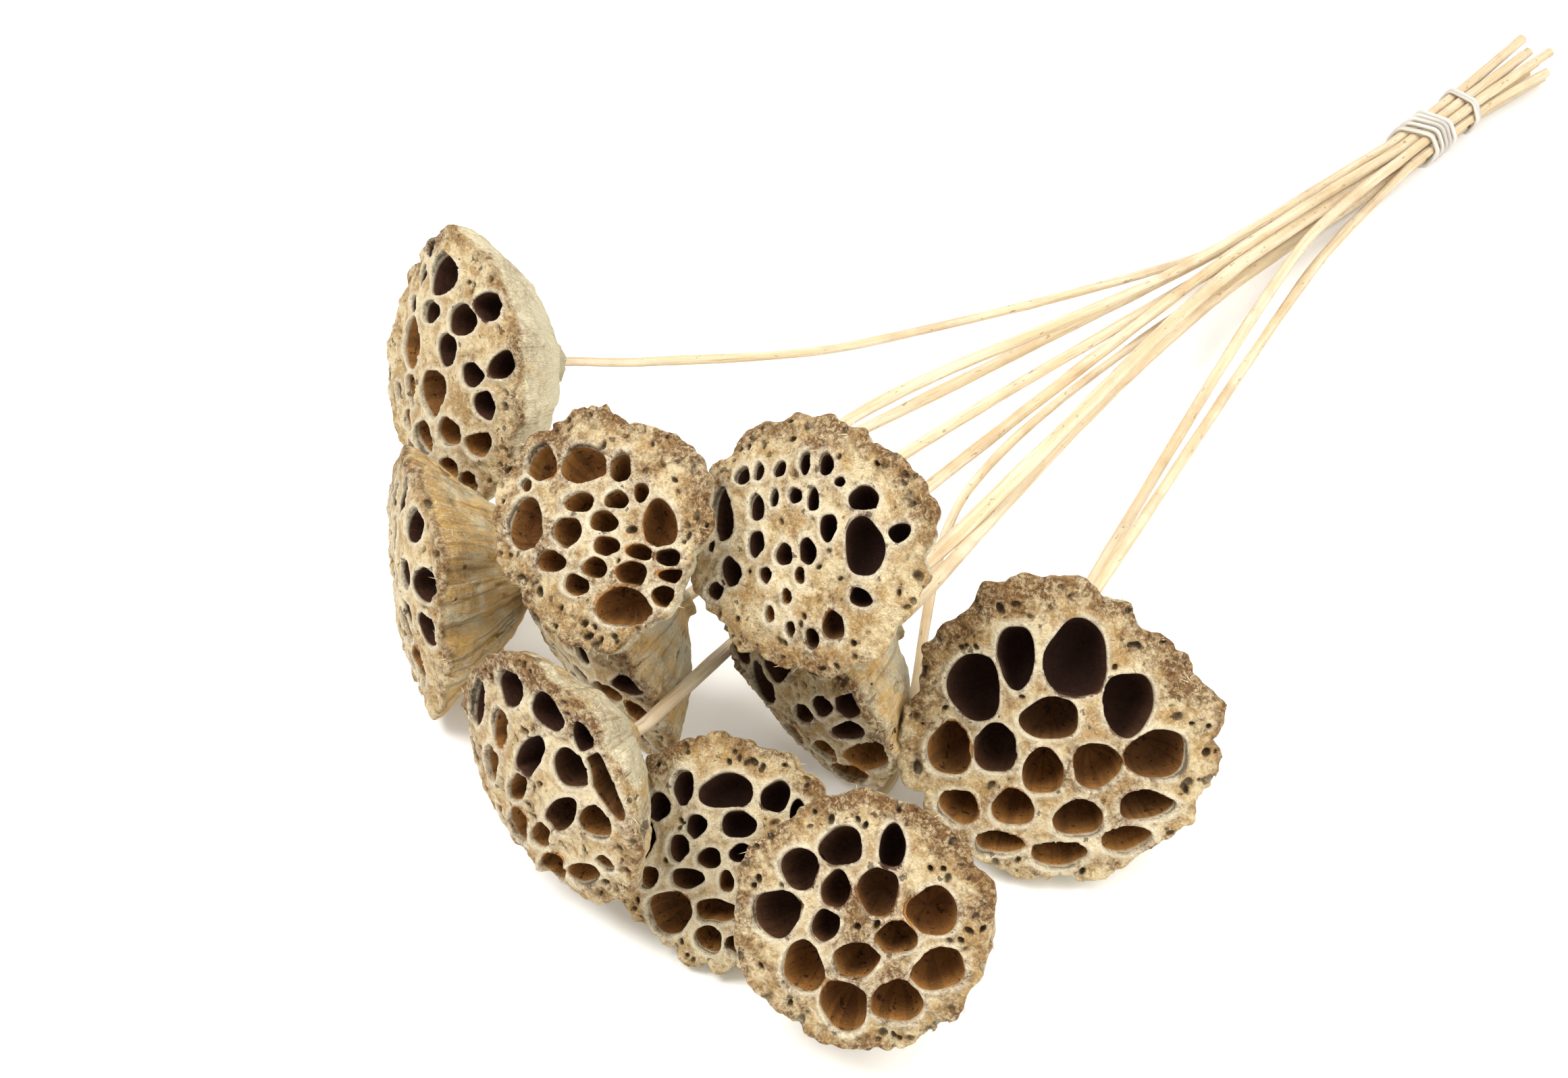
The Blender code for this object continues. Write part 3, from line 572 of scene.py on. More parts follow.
class PodShape:
    # the pod as a solid field: negative inside, in mm from the centre of its rim

    def __init__(self, spec, look):
        self.spec, self.look = spec, look
        self.radius = sum(spec["rim"]) / len(spec["rim"])
        self.depth = spec["depth"]
        self.dice = np.random.default_rng(look["seed"])
        self.step = podForm["cell"] * self.radius
        reach = max(spec["rim"]) + 3.0
        count = int(2 * reach / self.step) + 1
        self.axis = ((np.arange(count) - (count - 1) / 2) * self.step).astype(np.float32)
        top = podForm["crown"] * self.radius + 4.5
        self.heights = np.arange(-self.depth - 2, top, self.step).astype(np.float32)
        self.grid = (self.axis, self.axis, self.heights)
        # a fuller funnel stands further out halfway down
        self.levels = [level for level, share in funnelLine]
        self.shares = [share + look["bulge"] * podForm["bulge"]
                       * max(0.0, math.sin(math.pi * min(1, -level / 0.93))) ** 1.3
                       for level, share in funnelLine]
        self.phases = self.dice.uniform(0, wholeTurn, len(spec["cavities"]))
        # cavities low on the face get a lighter, golden wall: painted light, as if light falls in on their
        # walls, plus a random share
        heights = np.array([cavity[1] for cavity in spec["cavities"]]) / self.radius
        strays = self.dice.uniform(-0.3, 0.3, len(heights))
        self.paintedLightTones = np.clip(look["light"] - heights * 0.65 + strays, 0, 1)
        self.makeFace()
        self.field = self.makeBody()
        self.cutCavities()
        self.cutPits()
        self.cutFlecks()

    def wallAt(self, height):
        # the funnel's share of the rim radius at a height
        return np.interp(height / self.depth, self.levels, self.shares)

    def faceNoise(self, finer):
        cells = int(2 * self.radius / podForm["lump"]) * finer
        return latticeNoise(self.x.shape, [cells, cells], self.dice)

    def dent(self, spot, below, above, shape, soft):
        # takes a shape, given by its own distance from a spot, out of the husk
        part, points = self.window(spot - below, spot + above)
        self.field[part] = softMax(self.field[part], -shape(points - spot), soft)

    def makeFace(self):
        x, y = np.meshgrid(self.axis, self.axis, indexing="ij")
        self.x, self.y = x, y
        self.reach = np.hypot(x, y)
        self.angle = np.arctan2(y, x)
        self.rim = rimRadii(self.spec["rim"], self.angle, self.look["ragged"], self.dice)
        rho = self.reach / self.rim
        radius = self.radius
        face = podForm["crown"] * radius * (1 - np.minimum(rho, 1.15) ** 2)
        face += 1.1 * self.faceNoise(1)
        face += 0.35 * self.faceNoise(3)
        crease = np.abs(self.faceNoise(4))
        crease += 0.5 * np.abs(self.faceNoise(8))
        face -= podForm["wrinkle"] * (0.4 + smoothStep(rho, 0.3, 0.95)) * np.clip(0.3 - crease, 0, 1) / 0.3
        edges = []
        for cavity, phase in zip(self.spec["cavities"], self.phases):
            mouth, turned, depth = cavityFrame(self.spec, radius, cavity)
            u, v = turnedPlace(x - mouth[0], y - mouth[1], math.radians(cavity[4]))
            edges.append(cavityEdge(u, v, np.zeros_like(u), depth, cavity, phase))
        first, second = np.partition(np.array(edges), 1, axis=0)[:2]
        self.outside = np.maximum(first, (first - second + podForm["septum"]) / 2)
        lip = np.exp(-(np.clip(self.outside - 0.35, -9, 99) / 0.8) ** 2)
        face += podForm["lipHeight"] * lip * (0.75 + 0.5 * self.faceNoise(2))
        curl = np.exp(-((1 - rho) * radius / 2.2) ** 2)
        face += curl * (0.5 + 1.5 * self.faceNoise(2)) * self.look["ragged"]
        self.face = face.astype(np.float32)

    def makeBody(self):
        heights = self.heights
        share = self.wallAt(heights)
        share = np.convolve(np.pad(share, 2, mode="edge"), np.ones(5) / 5, mode="valid")
        slope = np.gradient(share * self.radius, self.step)
        steepness = 1 / np.sqrt(1 + slope ** 2)
        climb = np.clip((heights + self.depth) / self.depth, 0, 1)[None, :]
        ridge = np.zeros((foldSteps, len(heights)))
        for around, along, height in funnelFolds:
            fold = ringNoise(foldSteps, len(heights), around, along, self.dice)
            ridge += self.look["folds"] * height * fold
        ridge *= 0.3 + 0.7 * climb
        columns = ((self.angle + np.pi) / (2 * np.pi) * foldSteps).astype(int) % foldSteps
        wave = ridge.astype(np.float32)[columns]
        side = self.reach[..., None] - (self.rim[..., None] * share) * (1 + wave)
        side = (side * steepness).astype(np.float32)
        self.sideField = side
        roof = heights[None, None, :] - self.face[..., None]
        field = softMax(side, roof, podForm["rimRound"])
        field = softMax(field, -(heights + self.depth)[None, None, :] + 0.6 * wave * 10, 0.8)
        size = field.shape
        for width, height in huskLumps:
            cells = [max(2, int(n * self.step / width)) for n in size]
            field += height * latticeNoise(size, cells, self.dice)
        return field.astype(np.float32)

    def window(self, low, high):
        # the part of the grid in a box, and its points
        part = tuple(slice(*np.searchsorted(line, ends)) for line, *ends in zip(self.grid, low, high))
        lines = [line[piece] for line, piece in zip(self.grid, part)]
        return part, np.stack(np.meshgrid(*lines, indexing="ij"), -1)

    def cutCavities(self):
        frames = [cavityFrame(self.spec, self.radius, cavity) for cavity in self.spec["cavities"]]
        everyCavity = list(zip(self.spec["cavities"], self.phases, frames))
        for cavity, phase, (mouth, turned, depth) in everyCavity:
            top = mouth + turned[:, 2] * 6
            end = mouth - turned[:, 2] * depth
            room = cavity[2] / 2 * 1.2 + 1.5
            part, points = self.window(np.minimum(top, end) - room, np.maximum(top, end) + room)
            u, v, down = cavityLocal(points, mouth, turned)
            edge = cavityEdge(u, v, down, depth, cavity, phase)
            hollow = softMax(edge, down - depth, 1.6)
            for other, otherPhase, (place, frameThere, depthThere) in everyCavity:
                apart = np.linalg.norm(place - mouth)
                if other is cavity or apart > (other[2] + cavity[2]) / 2 + 2:
                    continue
                local = cavityLocal(points, place, frameThere)
                edgeThere = cavityEdge(*local, depthThere, other, otherPhase)
                hollow = np.maximum(hollow, (edge - edgeThere + podForm["septum"]) / 2)
            hollow = np.maximum(hollow, self.sideField[part] + podForm["husk"])
            self.field[part] = softMax(self.field[part], -hollow, podForm["lipRound"])

    def cutPits(self):
        # small pores of the spongy face, most of them between the cavities and the rim
        rows, columns = self.x.shape
        made = 0
        for attempt in range(podForm["pits"] * 12):
            if made >= podForm["pits"]:
                break
            i, j = self.dice.integers(0, rows), self.dice.integers(0, columns)
            rho = self.reach[i, j] / self.rim[i, j]
            width = self.dice.choice(podForm["pitWidths"], p=podForm["pitShares"])
            if rho > 0.99 or self.outside[i, j] < width + 0.5:
                continue
            if self.dice.random() > 0.25 + rho ** 3:
                continue
            made += 1
            spot = np.array((self.x[i, j], self.y[i, j], self.face[i, j]))
            deep = self.dice.uniform(1.2, 3.2)
            stretch = self.dice.uniform(1.0, 1.9)
            turn = self.dice.uniform(0, wholeTurn / 2)

            def pit(offset):
                u, v = turnedPlace(offset[..., 0], offset[..., 1], turn)
                share = (u / stretch / width) ** 2 + (v / width) ** 2 + (offset[..., 2] / deep) ** 2
                return (np.sqrt(share) - 1) * width

            self.dent(spot, (3.5, 3.5, deep + 1), (3.5, 3.5, 1.5), pit, 0.35)

    def cutFlecks(self):
        # short grooves that run up the funnel
        for fleck in range(podForm["sideFlecks"]):
            turn = self.dice.uniform(-np.pi, np.pi)
            level = -self.dice.uniform(0.04, 0.75) * self.depth
            radius = self.wallAt(level) * self.radius
            spot = np.array((radius * math.cos(turn), radius * math.sin(turn), level))
            slope = self.wallAt(level + 1) * self.radius - radius
            up = np.array((slope * math.cos(turn), slope * math.sin(turn), 1.0))
            up /= np.linalg.norm(up)
            width, length = self.dice.uniform(0.7, 1.1), self.dice.uniform(1.5, 3.8)

            def groove(offset):
                along = offset @ up
                beside = np.sqrt(np.maximum((offset ** 2).sum(-1) - along ** 2, 0))
                return (np.sqrt((beside / width) ** 2 + (along / length) ** 2) - 1) * width

            self.dent(spot, 4.5, 4.5, groove, 0.4)

    def surface(self):
        grid = openvdb.FloatGrid(3.0)
        grid.copyFromArray(np.clip(self.field, -3.0, 3.0).astype(np.float32))
        points, triangles, quads = grid.convertToPolygons(isovalue=0.0, adaptivity=0.0)
        return points * self.step + np.array([line[0] for line in self.grid]), quads

    def marks(self, points):
        # what the finish reads: hollow depth, lip, rim, side, and a direction for the fibres
        x, y, z = points.T
        reach = np.hypot(x, y)
        angle = np.arctan2(y, x)
        i, j, k = [np.clip(((value - line[0]) / self.step).round().astype(int), 0, len(line) - 1)
                   for value, line in zip((x, y, z), self.grid)]
        rim = self.rim[i, j]
        below = self.face[i, j] - z
        outerSkin = self.sideField[i, j, k] > -0.6
        side = smoothStep(below, 1.0, 3.5) * smoothStep(reach - self.wallAt(z) * rim, -3.2, -1.6)
        rimShare = smoothStep(reach / rim, 0.72, 1.0)
        rimShare *= 0.35 + 0.65 * smoothStep(y / self.radius, -0.3, 0.9)
        hollow, lip, tone = (np.zeros(len(points)) for kind in range(3))
        nearest = np.full(len(points), 99.0)
        fibre = np.stack((np.cos(angle) * self.radius, np.sin(angle) * self.radius, z), 1)
        for number, (cavity, phase) in enumerate(zip(self.spec["cavities"], self.phases)):
            mouth, turned, depth = cavityFrame(self.spec, self.radius, cavity)
            near = np.nonzero(((points - mouth) ** 2).sum(1) < (depth + cavity[2]) ** 2)[0]
            u, v, down = cavityLocal(points[near], mouth, turned)
            edge = cavityEdge(u, v, down, depth, cavity, phase)
            within = (edge < 0.7) & (down > 0.2) & (edge < nearest[near]) & ~outerSkin[near]
            chosen = near[within]
            nearest[chosen] = edge[within]
            hollow[chosen] = np.clip(down[within] / depth, 0, 1)
            side[chosen] = 0
            # the cavity's tone: painted light that lightens cavities low on the face, plus a random share
            tone[chosen] = self.paintedLightTones[number]
            turn = np.arctan2(v[within], u[within])
            size = cavity[2] / 2
            fibre[chosen] = np.stack((
                np.cos(turn) * size + number * 31, np.sin(turn) * size, down[within]), 1)
            edging = np.exp(-((edge - 0.3) / 1.1) ** 2) * (np.abs(down) < 2.0)
            lip[near] = np.maximum(lip[near], edging)
        fray = smoothStep(reach / rim, 0.9, 0.99) * (nearest > 1.0) + 0.1 * side
        values = {"hollow": hollow, "lip": lip, "tone": tone, "rim": rimShare, "side": side, "fray": fray,
                  "pit": smoothStep(below, 0.7, 1.5) * (1 - side) * (nearest > 0.9) * (reach / rim < 0.97)}
        return values, fibre * mm


def largestShell(count, faces):
    # keeps the faces of the one big surface and drops loose crumbs
    label = np.arange(count)
    edges = np.concatenate([faces[:, (i, (i + 1) % faces.shape[1])] for i in range(faces.shape[1])])
    while True:
        low = np.minimum(label[edges[:, 0]], label[edges[:, 1]])
        fresh = label.copy()
        np.minimum.at(fresh, edges[:, 0], low)
        np.minimum.at(fresh, edges[:, 1], low)
        fresh = fresh[fresh]
        if np.array_equal(fresh, label):
            break
        label = fresh
    names, sizes = np.unique(label, return_counts=True)
    return label == names[sizes.argmax()]


def turnedToWorld(spec):
    tilt = Matrix.Rotation(math.radians(90 - spec["lift"]), 4, "X")
    heading = Matrix.Rotation(math.radians(spec["heading"] + 90), 4, "Z")
    place = Matrix.Translation((Vector(spec["centre"]) + bunchShift) * mm)
    return place @ heading @ tilt


def addPod(name, spec, look, finish):
    shape = PodShape(spec, look)
    points, quads = shape.surface()
    kept = largestShell(len(points), quads)
    numbers = np.cumsum(kept) - 1
    quads = numbers[quads[kept[quads[:, 0]]]]
    points = points[kept]
    values, fibre = shape.marks(points)
    world = np.array(turnedToWorld(spec))
    placed = points * mm @ world[:3, :3].T + world[:3, 3]
    mesh = bpy.data.meshes.new(name + "Husk")
    mesh.from_pydata(placed, [], quads.tolist())
    mesh.update()
    for label, value in values.items():
        layer = mesh.attributes.new(label, "FLOAT", "POINT")
        layer.data.foreach_set("value", value.astype(np.float32))
    layer = mesh.attributes.new("fibre", "FLOAT_VECTOR", "POINT")
    layer.data.foreach_set("vector", fibre.astype(np.float32).ravel())
    mesh.shade_smooth()
    pod = addObject(name + "Husk", mesh)
    mesh.materials.append(finish)
    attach(pod, "root")
    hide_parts(name)
    print(name, "grown:", len(quads), "faces")
    return pod


nickStretch = (1.0, 1.0, 0.3)     # draws the pores out along the fibres

huskColours = {
    "gilt": linear(232, 211, 167),
    "tan": linear(190, 155, 100),
    "shade": linear(140, 103, 61),
    "funnelPale": linear(255, 242, 200),
    "funnelGold": linear(250, 202, 116),
    "brown": linear(116, 82, 48),
    "darkBrown": linear(50, 32, 20),
    "lip": linear(244, 233, 205),
    "goldWall": linear(186, 130, 66),
    "wineWall": linear(88, 54, 36),
    # the two floor colours hold painted shade: the cavity walls are painted darker towards the floor
    "goldFloorPaintedShade": linear(146, 96, 46),
    "wineFloorPaintedShade": linear(60, 34, 23),
}


def huskFinish(name, look):
    material, bench, shader = newMaterial(name + "Finish")
    colours = huskColours
    place = bench.place()
    offset = bench.add("ShaderNodeMapping", {"Vector": place, "Location": (look["seed"] * 0.37, 0, 0)})
    vector = offset.outputs["Vector"]
    marks = {label: bench.attribute(label) for label in ("hollow", "lip", "rim", "side", "tone", "pit")}
    fibreVector = bench.attribute("fibre", "Vector")
    sponge = bench.group(spongeGrain, {"Vector": vector, "Pore Scale": 360.0})
    fibres = bench.group(fibreGrain, {"Vector": fibreVector, "Scale": 1300.0})
    stains = bench.group(weatherStains, {
        "Vector": vector, "Mask": marks["rim"], "Amount": look["stain"]})
    crumbs = bench.span(bench.noise(vector, 700.0, 5.0, 0.75, 0.6), 0.4, 0.56, 0.3, 1.0)
    stain = bench.times(stains["Stain"], crumbs)

    # the sprayed face: pale gilt over tan, browner in the stains, dark in the pores
    tint = bench.span(bench.noise(vector, 150.0, 5.0, 0.65, 0.3), 0.4, 0.6)
    face = bench.mix(tint, colours["tan"], colours["gilt"])
    mottle = bench.span(bench.noise(vector, 420.0, 4.0, 0.7, 0.8), 0.5, 0.66)
    face = bench.mix(bench.times(mottle, 0.6), face, colours["shade"])
    fine = bench.span(bench.noise(vector, 1300.0, 3.0, 0.65), 0.5, 0.68)
    face = bench.mix(bench.times(fine, 0.5), face, colours["lip"])
    face = bench.mix(bench.times(marks["lip"], 0.7), face, colours["lip"])
    face = bench.mix(stain, face, colours["brown"])
    specks = bench.times(sponge["Specks"], 0.4)
    face = bench.mix(specks, face, colours["brown"])
    hole = bench.math("MAXIMUM", sponge["Pores"], marks["pit"])
    face = bench.mix(bench.times(hole, 0.7), face, colours["darkBrown"])

    # the funnel: drawn-out fibres, pale to golden tan, with dark streaks and flecks
    early = 0.62 - 0.3 * look["warmth"]
    gold = bench.span(bench.noise(vector, 60.0, 4.0, 0.6, 0.5), early, early + 0.18)
    streak = bench.span(fibres["Fibre"], 0.36, 0.62)
    funnel = bench.mix(gold, colours["funnelPale"], colours["funnelGold"])
    funnel = bench.mix(bench.times(streak, 0.5), funnel, colours["lip"])
    dark = bench.span(fibres["Coarse"], 0.54, 0.68)
    funnel = bench.mix(bench.times(dark, look["streaks"]), funnel, colours["shade"])
    flecks = bench.group(spongeGrain, {
        "Vector": bench.stretch(fibreVector, nickStretch), "Pore Scale": 240.0})
    flecked = bench.times(flecks["Pores"], 0.35 + 0.6 * look["streaks"])
    funnel = bench.mix(flecked, funnel, colours["darkBrown"])
    funnel = bench.mix(bench.times(stain, 0.5), funnel, colours["shade"])
    skin = bench.mix(marks["side"], face, funnel)

    # the cavities: gold or wine-brown walls, gold more often low on the face as painted light, darkening
    # with depth as painted shade, streaked from mouth to floor
    # walls darken from mouth to floor: painted shade deep in the cavities, over their own brown
    deep = bench.span(marks["hollow"], 0.05, 0.95)
    golden = bench.mix(deep, colours["goldWall"], colours["goldFloorPaintedShade"])
    wine = bench.mix(deep, colours["wineWall"], colours["wineFloorPaintedShade"])
    # golden or wine-brown by tone: partly random colour, partly painted light on cavities low on the face
    wall = bench.mix(bench.span(marks["tone"], 0.25, 0.75), wine, golden)
    grain = bench.times(bench.span(fibres["Coarse"], 0.45, 0.62), 0.35)
    wall = bench.mix(grain, wall, colours["darkBrown"])
    spots = bench.span(bench.noise(vector, 520.0, 2.0, 0.5, 0.3), 0.63, 0.67)
    wall = bench.mix(bench.times(spots, 0.75), wall, colours["darkBrown"])
    within = bench.span(marks["hollow"], 0.02, 0.12)
    colour = bench.mix(within, skin, wall)
    bench.feed(shader["Base Color"], colour)

    # fine metallic sparkle on the sprayed skin, none inside the cavities
    glint = bench.cells(vector, 3200.0, "Green")[1]
    sprayed = bench.minus(1.0, within)
    metal = bench.times(bench.span(glint, 0.72, 0.95), 0.55)
    bench.feed(shader["Metallic"], bench.times(metal, sprayed))
    rough = bench.span(glint, 0.55, 1.0, 0.7, 0.36)
    rough = bench.math("MAXIMUM", rough, bench.times(within, 0.8))
    bench.feed(shader["Roughness"], rough)
    bench.feed(shader["Specular IOR Level"], 0.22)

    normal = bench.bump(sponge["Height"], 1.0, 0.003)
    combed = bench.math("MAXIMUM", marks["side"], bench.span(marks["hollow"], 0.12, 0.3, 0.0, 0.5))
    drawn = bench.times(fibres["Fibre"], combed)
    normal = bench.bump(drawn, 0.9, 0.0022, normal)
    bench.feed(shader["Normal"], normal)
    return material


pods = {}
for podName, podSpec in podSpecs.items():
    podLook = podLooks[podName]
    pods[podName] = addPod(podName, podSpec, podLook, huskFinish(podName, podLook))
print("pods ready")


# the stems and their ties
# Each stem: radius, place in the bundle (pitches across, row), how far its cut end runs past the
# others, how flat it has dried, and the route between its pod and the tie.
stemSpecs = {
    "stem_1": {"radius": 1.7, "place": (-1.5, 1), "past": -2, "flat": 0.15,
        "route": ((-68, -89, 54), (-34, -11, 34), (23, 165, 13))},
    "stem_2": {"radius": 2.0, "place": (-1, 2), "past": 7, "flat": 0.25,
        "route": ((18, -155, 66), (4, -48, 47), (25, 114, 27))},
    "stem_3": {"radius": 2.2, "place": (0.5, 1), "past": -9, "flat": 0.42,
        "route": ((66, -108, 46), (59, -34, 40), (39, 132, 23))},
    "stem_4": {"radius": 2.0, "place": (-1, 0), "past": 0, "flat": 0.2,
        "route": ((-24, -141, 33), (-6, -23, 23), (22, 188, 8))},
    "stem_5": {"radius": 1.9, "place": (-0.5, 1), "past": 9, "flat": 0.3,
        "route": ((18, -133, 43), (21, -23, 33), (31, 151, 17))},
    "stem_6": {"radius": 2.0, "place": (0, 2), "past": -7, "flat": 0.25,
        "route": ((45, -198, 45), (28, -126, 24), (34, 131, 25))},
    "stem_7": {"radius": 2.1, "place": (1, 0), "past": 2, "flat": 0.4,
        "route": ((72, -103, 43), (52, 10, 29), (38, 137, 13))},
    "stem_8": {"radius": 1.6, "place": (0, 0), "past": 11, "flat": 0.2,
        "route": ((94, -153, 6), (47, -53, 33), (33, 139, 12))},
    "stem_9": {"radius": 1.8, "place": (1.5, 1), "past": -4, "flat": 0.2,
        "route": ((120, -172, 13), (102, -67, 15), (53, 180, 7))},
    "stem_10": {"radius": 1.9, "place": (1, 2), "past": 4, "flat": 0.3,
        "route": ((102, -78, 6), (84, -14, 4), (48, 175, 17))},
}

bundleForm = {
    "pitch": 4.9,
    "height": 3.9,
    "rowRise": 0.87,
    "tieStart": Vector((39, 287)),
    "tieEnd": Vector((41, 344)),
    "straight": (-8, -3, 52, 57),
    "cutEnds": Vector((45, 392)),
    "endRise": 0.4,
    "splay": 1.6,
    "stub": 7.0,
    "routeStep": 4.0,
    "outlineSteps": 24,
    "cordSteps": 60,      # to the turn
    "halfWidth": 16,
}


def faceDirection(spec):
    heading = math.radians(spec["heading"])
    lift = math.radians(spec["lift"])
    level = math.cos(lift)
    return Vector((level * math.cos(heading), level * math.sin(heading), math.sin(lift)))


def bundleAxes():
    along = (bundleForm["tieEnd"] - bundleForm["tieStart"]).normalized()
    return along, Vector((along.y, -along.x))


def bundlePlace(spec):
    across, row = spec["place"]
    pitch = bundleForm["pitch"]
    return across * pitch, bundleForm["height"] + row * bundleForm["rowRise"] * pitch


def stemRoute(pod, spec):
    along, side = bundleAxes()
    across, height = bundlePlace(spec)
    back = -faceDirection(pod)
    start = Vector(pod["centre"]) + back * (pod["depth"] - 1.0)
    end = bundleForm["cutEnds"] + side * across * bundleForm["splay"] + along * spec["past"]
    spots = [bundleForm["tieStart"] + side * across + along * reach for reach in bundleForm["straight"]]
    rise = (height - bundleForm["height"]) * bundleForm["endRise"]
    return ([start, start + back * bundleForm["stub"] / 2, start + back * bundleForm["stub"]]
            + [Vector(point) for point in spec["route"]]
            + [Vector((*spot, height)) for spot in spots] + [Vector((*end, height + rise))])


def shortened(heading, length):
    return heading * min(1.0, length / heading.length)


def smoothRoute(points, spacing):
    # a smooth line through every point, sampled about every spacing mm
    around = [points[0] * 2 - points[1]] + points + [points[-1] * 2 - points[-2]]
    headings = [(after - before) / 2 for before, after in zip(around, around[2:])]
    route = []
    for i, (point, following) in enumerate(zip(points, points[1:])):
        step = following - point
        count = max(1, round(step.length / spacing))
        leave = shortened(headings[i], step.length)
        arrive = shortened(headings[i + 1], step.length)
        for sample in range(count):
            t = sample / count
            route.append(point + step * (3 * t ** 2 - 2 * t ** 3)
                         + leave * (t ** 3 - 2 * t ** 2 + t) + arrive * (t ** 3 - t ** 2))
    route.append(points[-1])
    return route


def buildSweepTree():
    # a line becomes a rod: uneven in thickness, grooved along its length, a little flattened
    tree, bench, given, result = newTree("sweptRod", {
        "Geometry": "Geometry", "Radius": 0.002, "Step": 0.0015, "Groove Depth": 0.0003, "Grooves": 3.0,
        "Flatness": 0.0, "Unevenness": 0.12, "Twist": 0.0, "Offset": 0.0, "Sides": 20,
        "Material": "Material"}, {"Geometry": "Geometry"}, "GeometryNodeTree")
    line = bench.add("GeometryNodeMeshToCurve", {"Mesh": given["Geometry"]})
    evened = bench.add("GeometryNodeResampleCurve", {
        "Curve": line.outputs["Curve"], "Length": given["Step"]}, mode="LENGTH")
    pathLength = bench.add("GeometryNodeSplineParameter").outputs["Length"]
    shifted = bench.plus(pathLength, given["Offset"])
    slow = bench.noise(bench.vector(shifted, given["Offset"], 0.0), 28.0, 3.0, 0.5)
    bulge = bench.times(bench.minus(slow, 0.5), given["Unevenness"])
    turned = bench.add("GeometryNodeSetCurveTilt", {
        "Curve": evened.outputs["Curve"], "Tilt": bench.times(bench.plus(pathLength, slow), given["Twist"])})
    path, along = bench.keep(turned.outputs["Curve"], "along", shifted)
    ring = bench.add("GeometryNodeCurvePrimitiveCircle", {
        "Resolution": given["Sides"], "Radius": given["Radius"]})
    ringShare = bench.add("GeometryNodeSplineParameter").outputs["Factor"]
    profile, around = bench.keep(ring.outputs["Curve"], "round", ringShare)
    wide = bench.plus(1.0, bench.times(given["Flatness"], 0.45))
    thin = bench.minus(1.0, given["Flatness"])
    flattened = bench.add("GeometryNodeTransform", {
        "Geometry": profile, "Scale": bench.vector(wide, thin, 1.0)})
    rod = bench.add("GeometryNodeCurveToMesh", {
        "Curve": path, "Profile Curve": flattened.outputs["Geometry"],
        "Scale": bench.plus(1.0, bench.times(bulge, 2.0)), "Fill Caps": True})
    angle = bench.times(around, 2 * math.pi)
    across, up = bench.math("COSINE", angle), bench.math("SINE", angle)
    groove = bench.noise(bench.vector(across, up, bench.times(along, 9.0)), given["Grooves"], 2.0, 0.6)
    height = bench.times(bench.minus(groove, 0.5), given["Groove Depth"])
    push = bench.add("ShaderNodeVectorMath", {
        0: bench.add("GeometryNodeInputNormal").outputs[0], "Scale": bench.times(height, 2.0)},
        operation="SCALE")
    pushed = bench.add("GeometryNodeSetPosition", {
        "Geometry": rod.outputs["Mesh"], "Offset": push.outputs[0]})
    fibrePlace = bench.vector(
        bench.times(across, given["Radius"]), bench.times(up, given["Radius"]), along)
    stored = bench.add("GeometryNodeStoreNamedAttribute", {
        "Geometry": pushed.outputs["Geometry"], "Name": "fibre", "Value": fibrePlace},
        data_type="FLOAT_VECTOR", domain="POINT")
    smooth = bench.add("GeometryNodeSetShadeSmooth", {"Geometry": stored.outputs["Geometry"]})
    bench.close(smooth.outputs["Geometry"], given, result)
    return tree


def bakeTree(name, mesh, tree, values):
    # runs the tree on a mesh once and keeps the plain result
    carrier = addObject(name + "Carrier", mesh)
    live = carrier.modifiers.new("tree", "NODES")
    live.node_group = tree
    sockets = {item.name: item.identifier for item in tree.interface.items_tree if item.in_out == "INPUT"}
    for label, value in values.items():
        live[sockets[label]] = value
    carrier.update_tag()
    depsgraph = bpy.context.evaluated_depsgraph_get()
    result = bpy.data.meshes.new_from_object(carrier.evaluated_get(depsgraph))
    bpy.data.objects.remove(carrier, do_unlink=True)
    result.name = name
    return result


def lineMesh(name, points):
    # points in mm before the shift
    mesh = bpy.data.meshes.new(name)
    placed = [(point + bunchShift) * mm for point in points]
    mesh.from_pydata(placed, [(i, i + 1) for i in range(len(placed) - 1)], [])
    return mesh


strawColours = {
    "straw": linear(210, 187, 148),
    "pale": linear(224, 208, 180),
    "tan": linear(178, 142, 98),
    "nick": linear(120, 88, 54),
}


def strawFinish():
    material, bench, shader = newMaterial("strawFinish")
    place = bench.place()
    fibreVector = bench.attribute("fibre", "Vector")
    fibres = bench.group(fibreGrain, {
        "Vector": fibreVector, "Scale": 1900.0, "Drawn Out": (1.0, 1.0, 0.035)})
    streak = bench.span(fibres["Coarse"], 0.32, 0.68)
    colour = bench.mix(streak, strawColours["straw"], strawColours["pale"])
    tanned = bench.span(bench.noise(place, 34.0, 4.0, 0.6), 0.48, 0.72)
    colour = bench.mix(bench.times(tanned, 0.45), colour, strawColours["tan"])
    fine = bench.span(fibres["Fibre"], 0.56, 0.72)
    colour = bench.mix(bench.times(fine, 0.5), colour, strawColours["tan"])
    nicks = bench.group(spongeGrain, {
        "Vector": bench.stretch(fibreVector, nickStretch), "Pore Scale": 900.0})
    colour = bench.mix(bench.times(nicks["Pores"], 0.5), colour, strawColours["nick"])
    bench.feed(shader["Base Color"], colour)
    rough = bench.span(fibres["Fibre"], 0.3, 0.7, 0.5, 0.78)
    bench.feed(shader["Roughness"], rough)
    bench.feed(shader["Specular IOR Level"], 0.3)
    normal = bench.bump(fibres["Fibre"], 0.8, 0.0009)
    normal = bench.bump(nicks["Height"], 0.3, 0.0004, normal)
    bench.feed(shader["Normal"], normal)
    return material


elasticColours = {
    "cord": linear(214, 210, 202),
    "shade": linear(182, 176, 166),
}


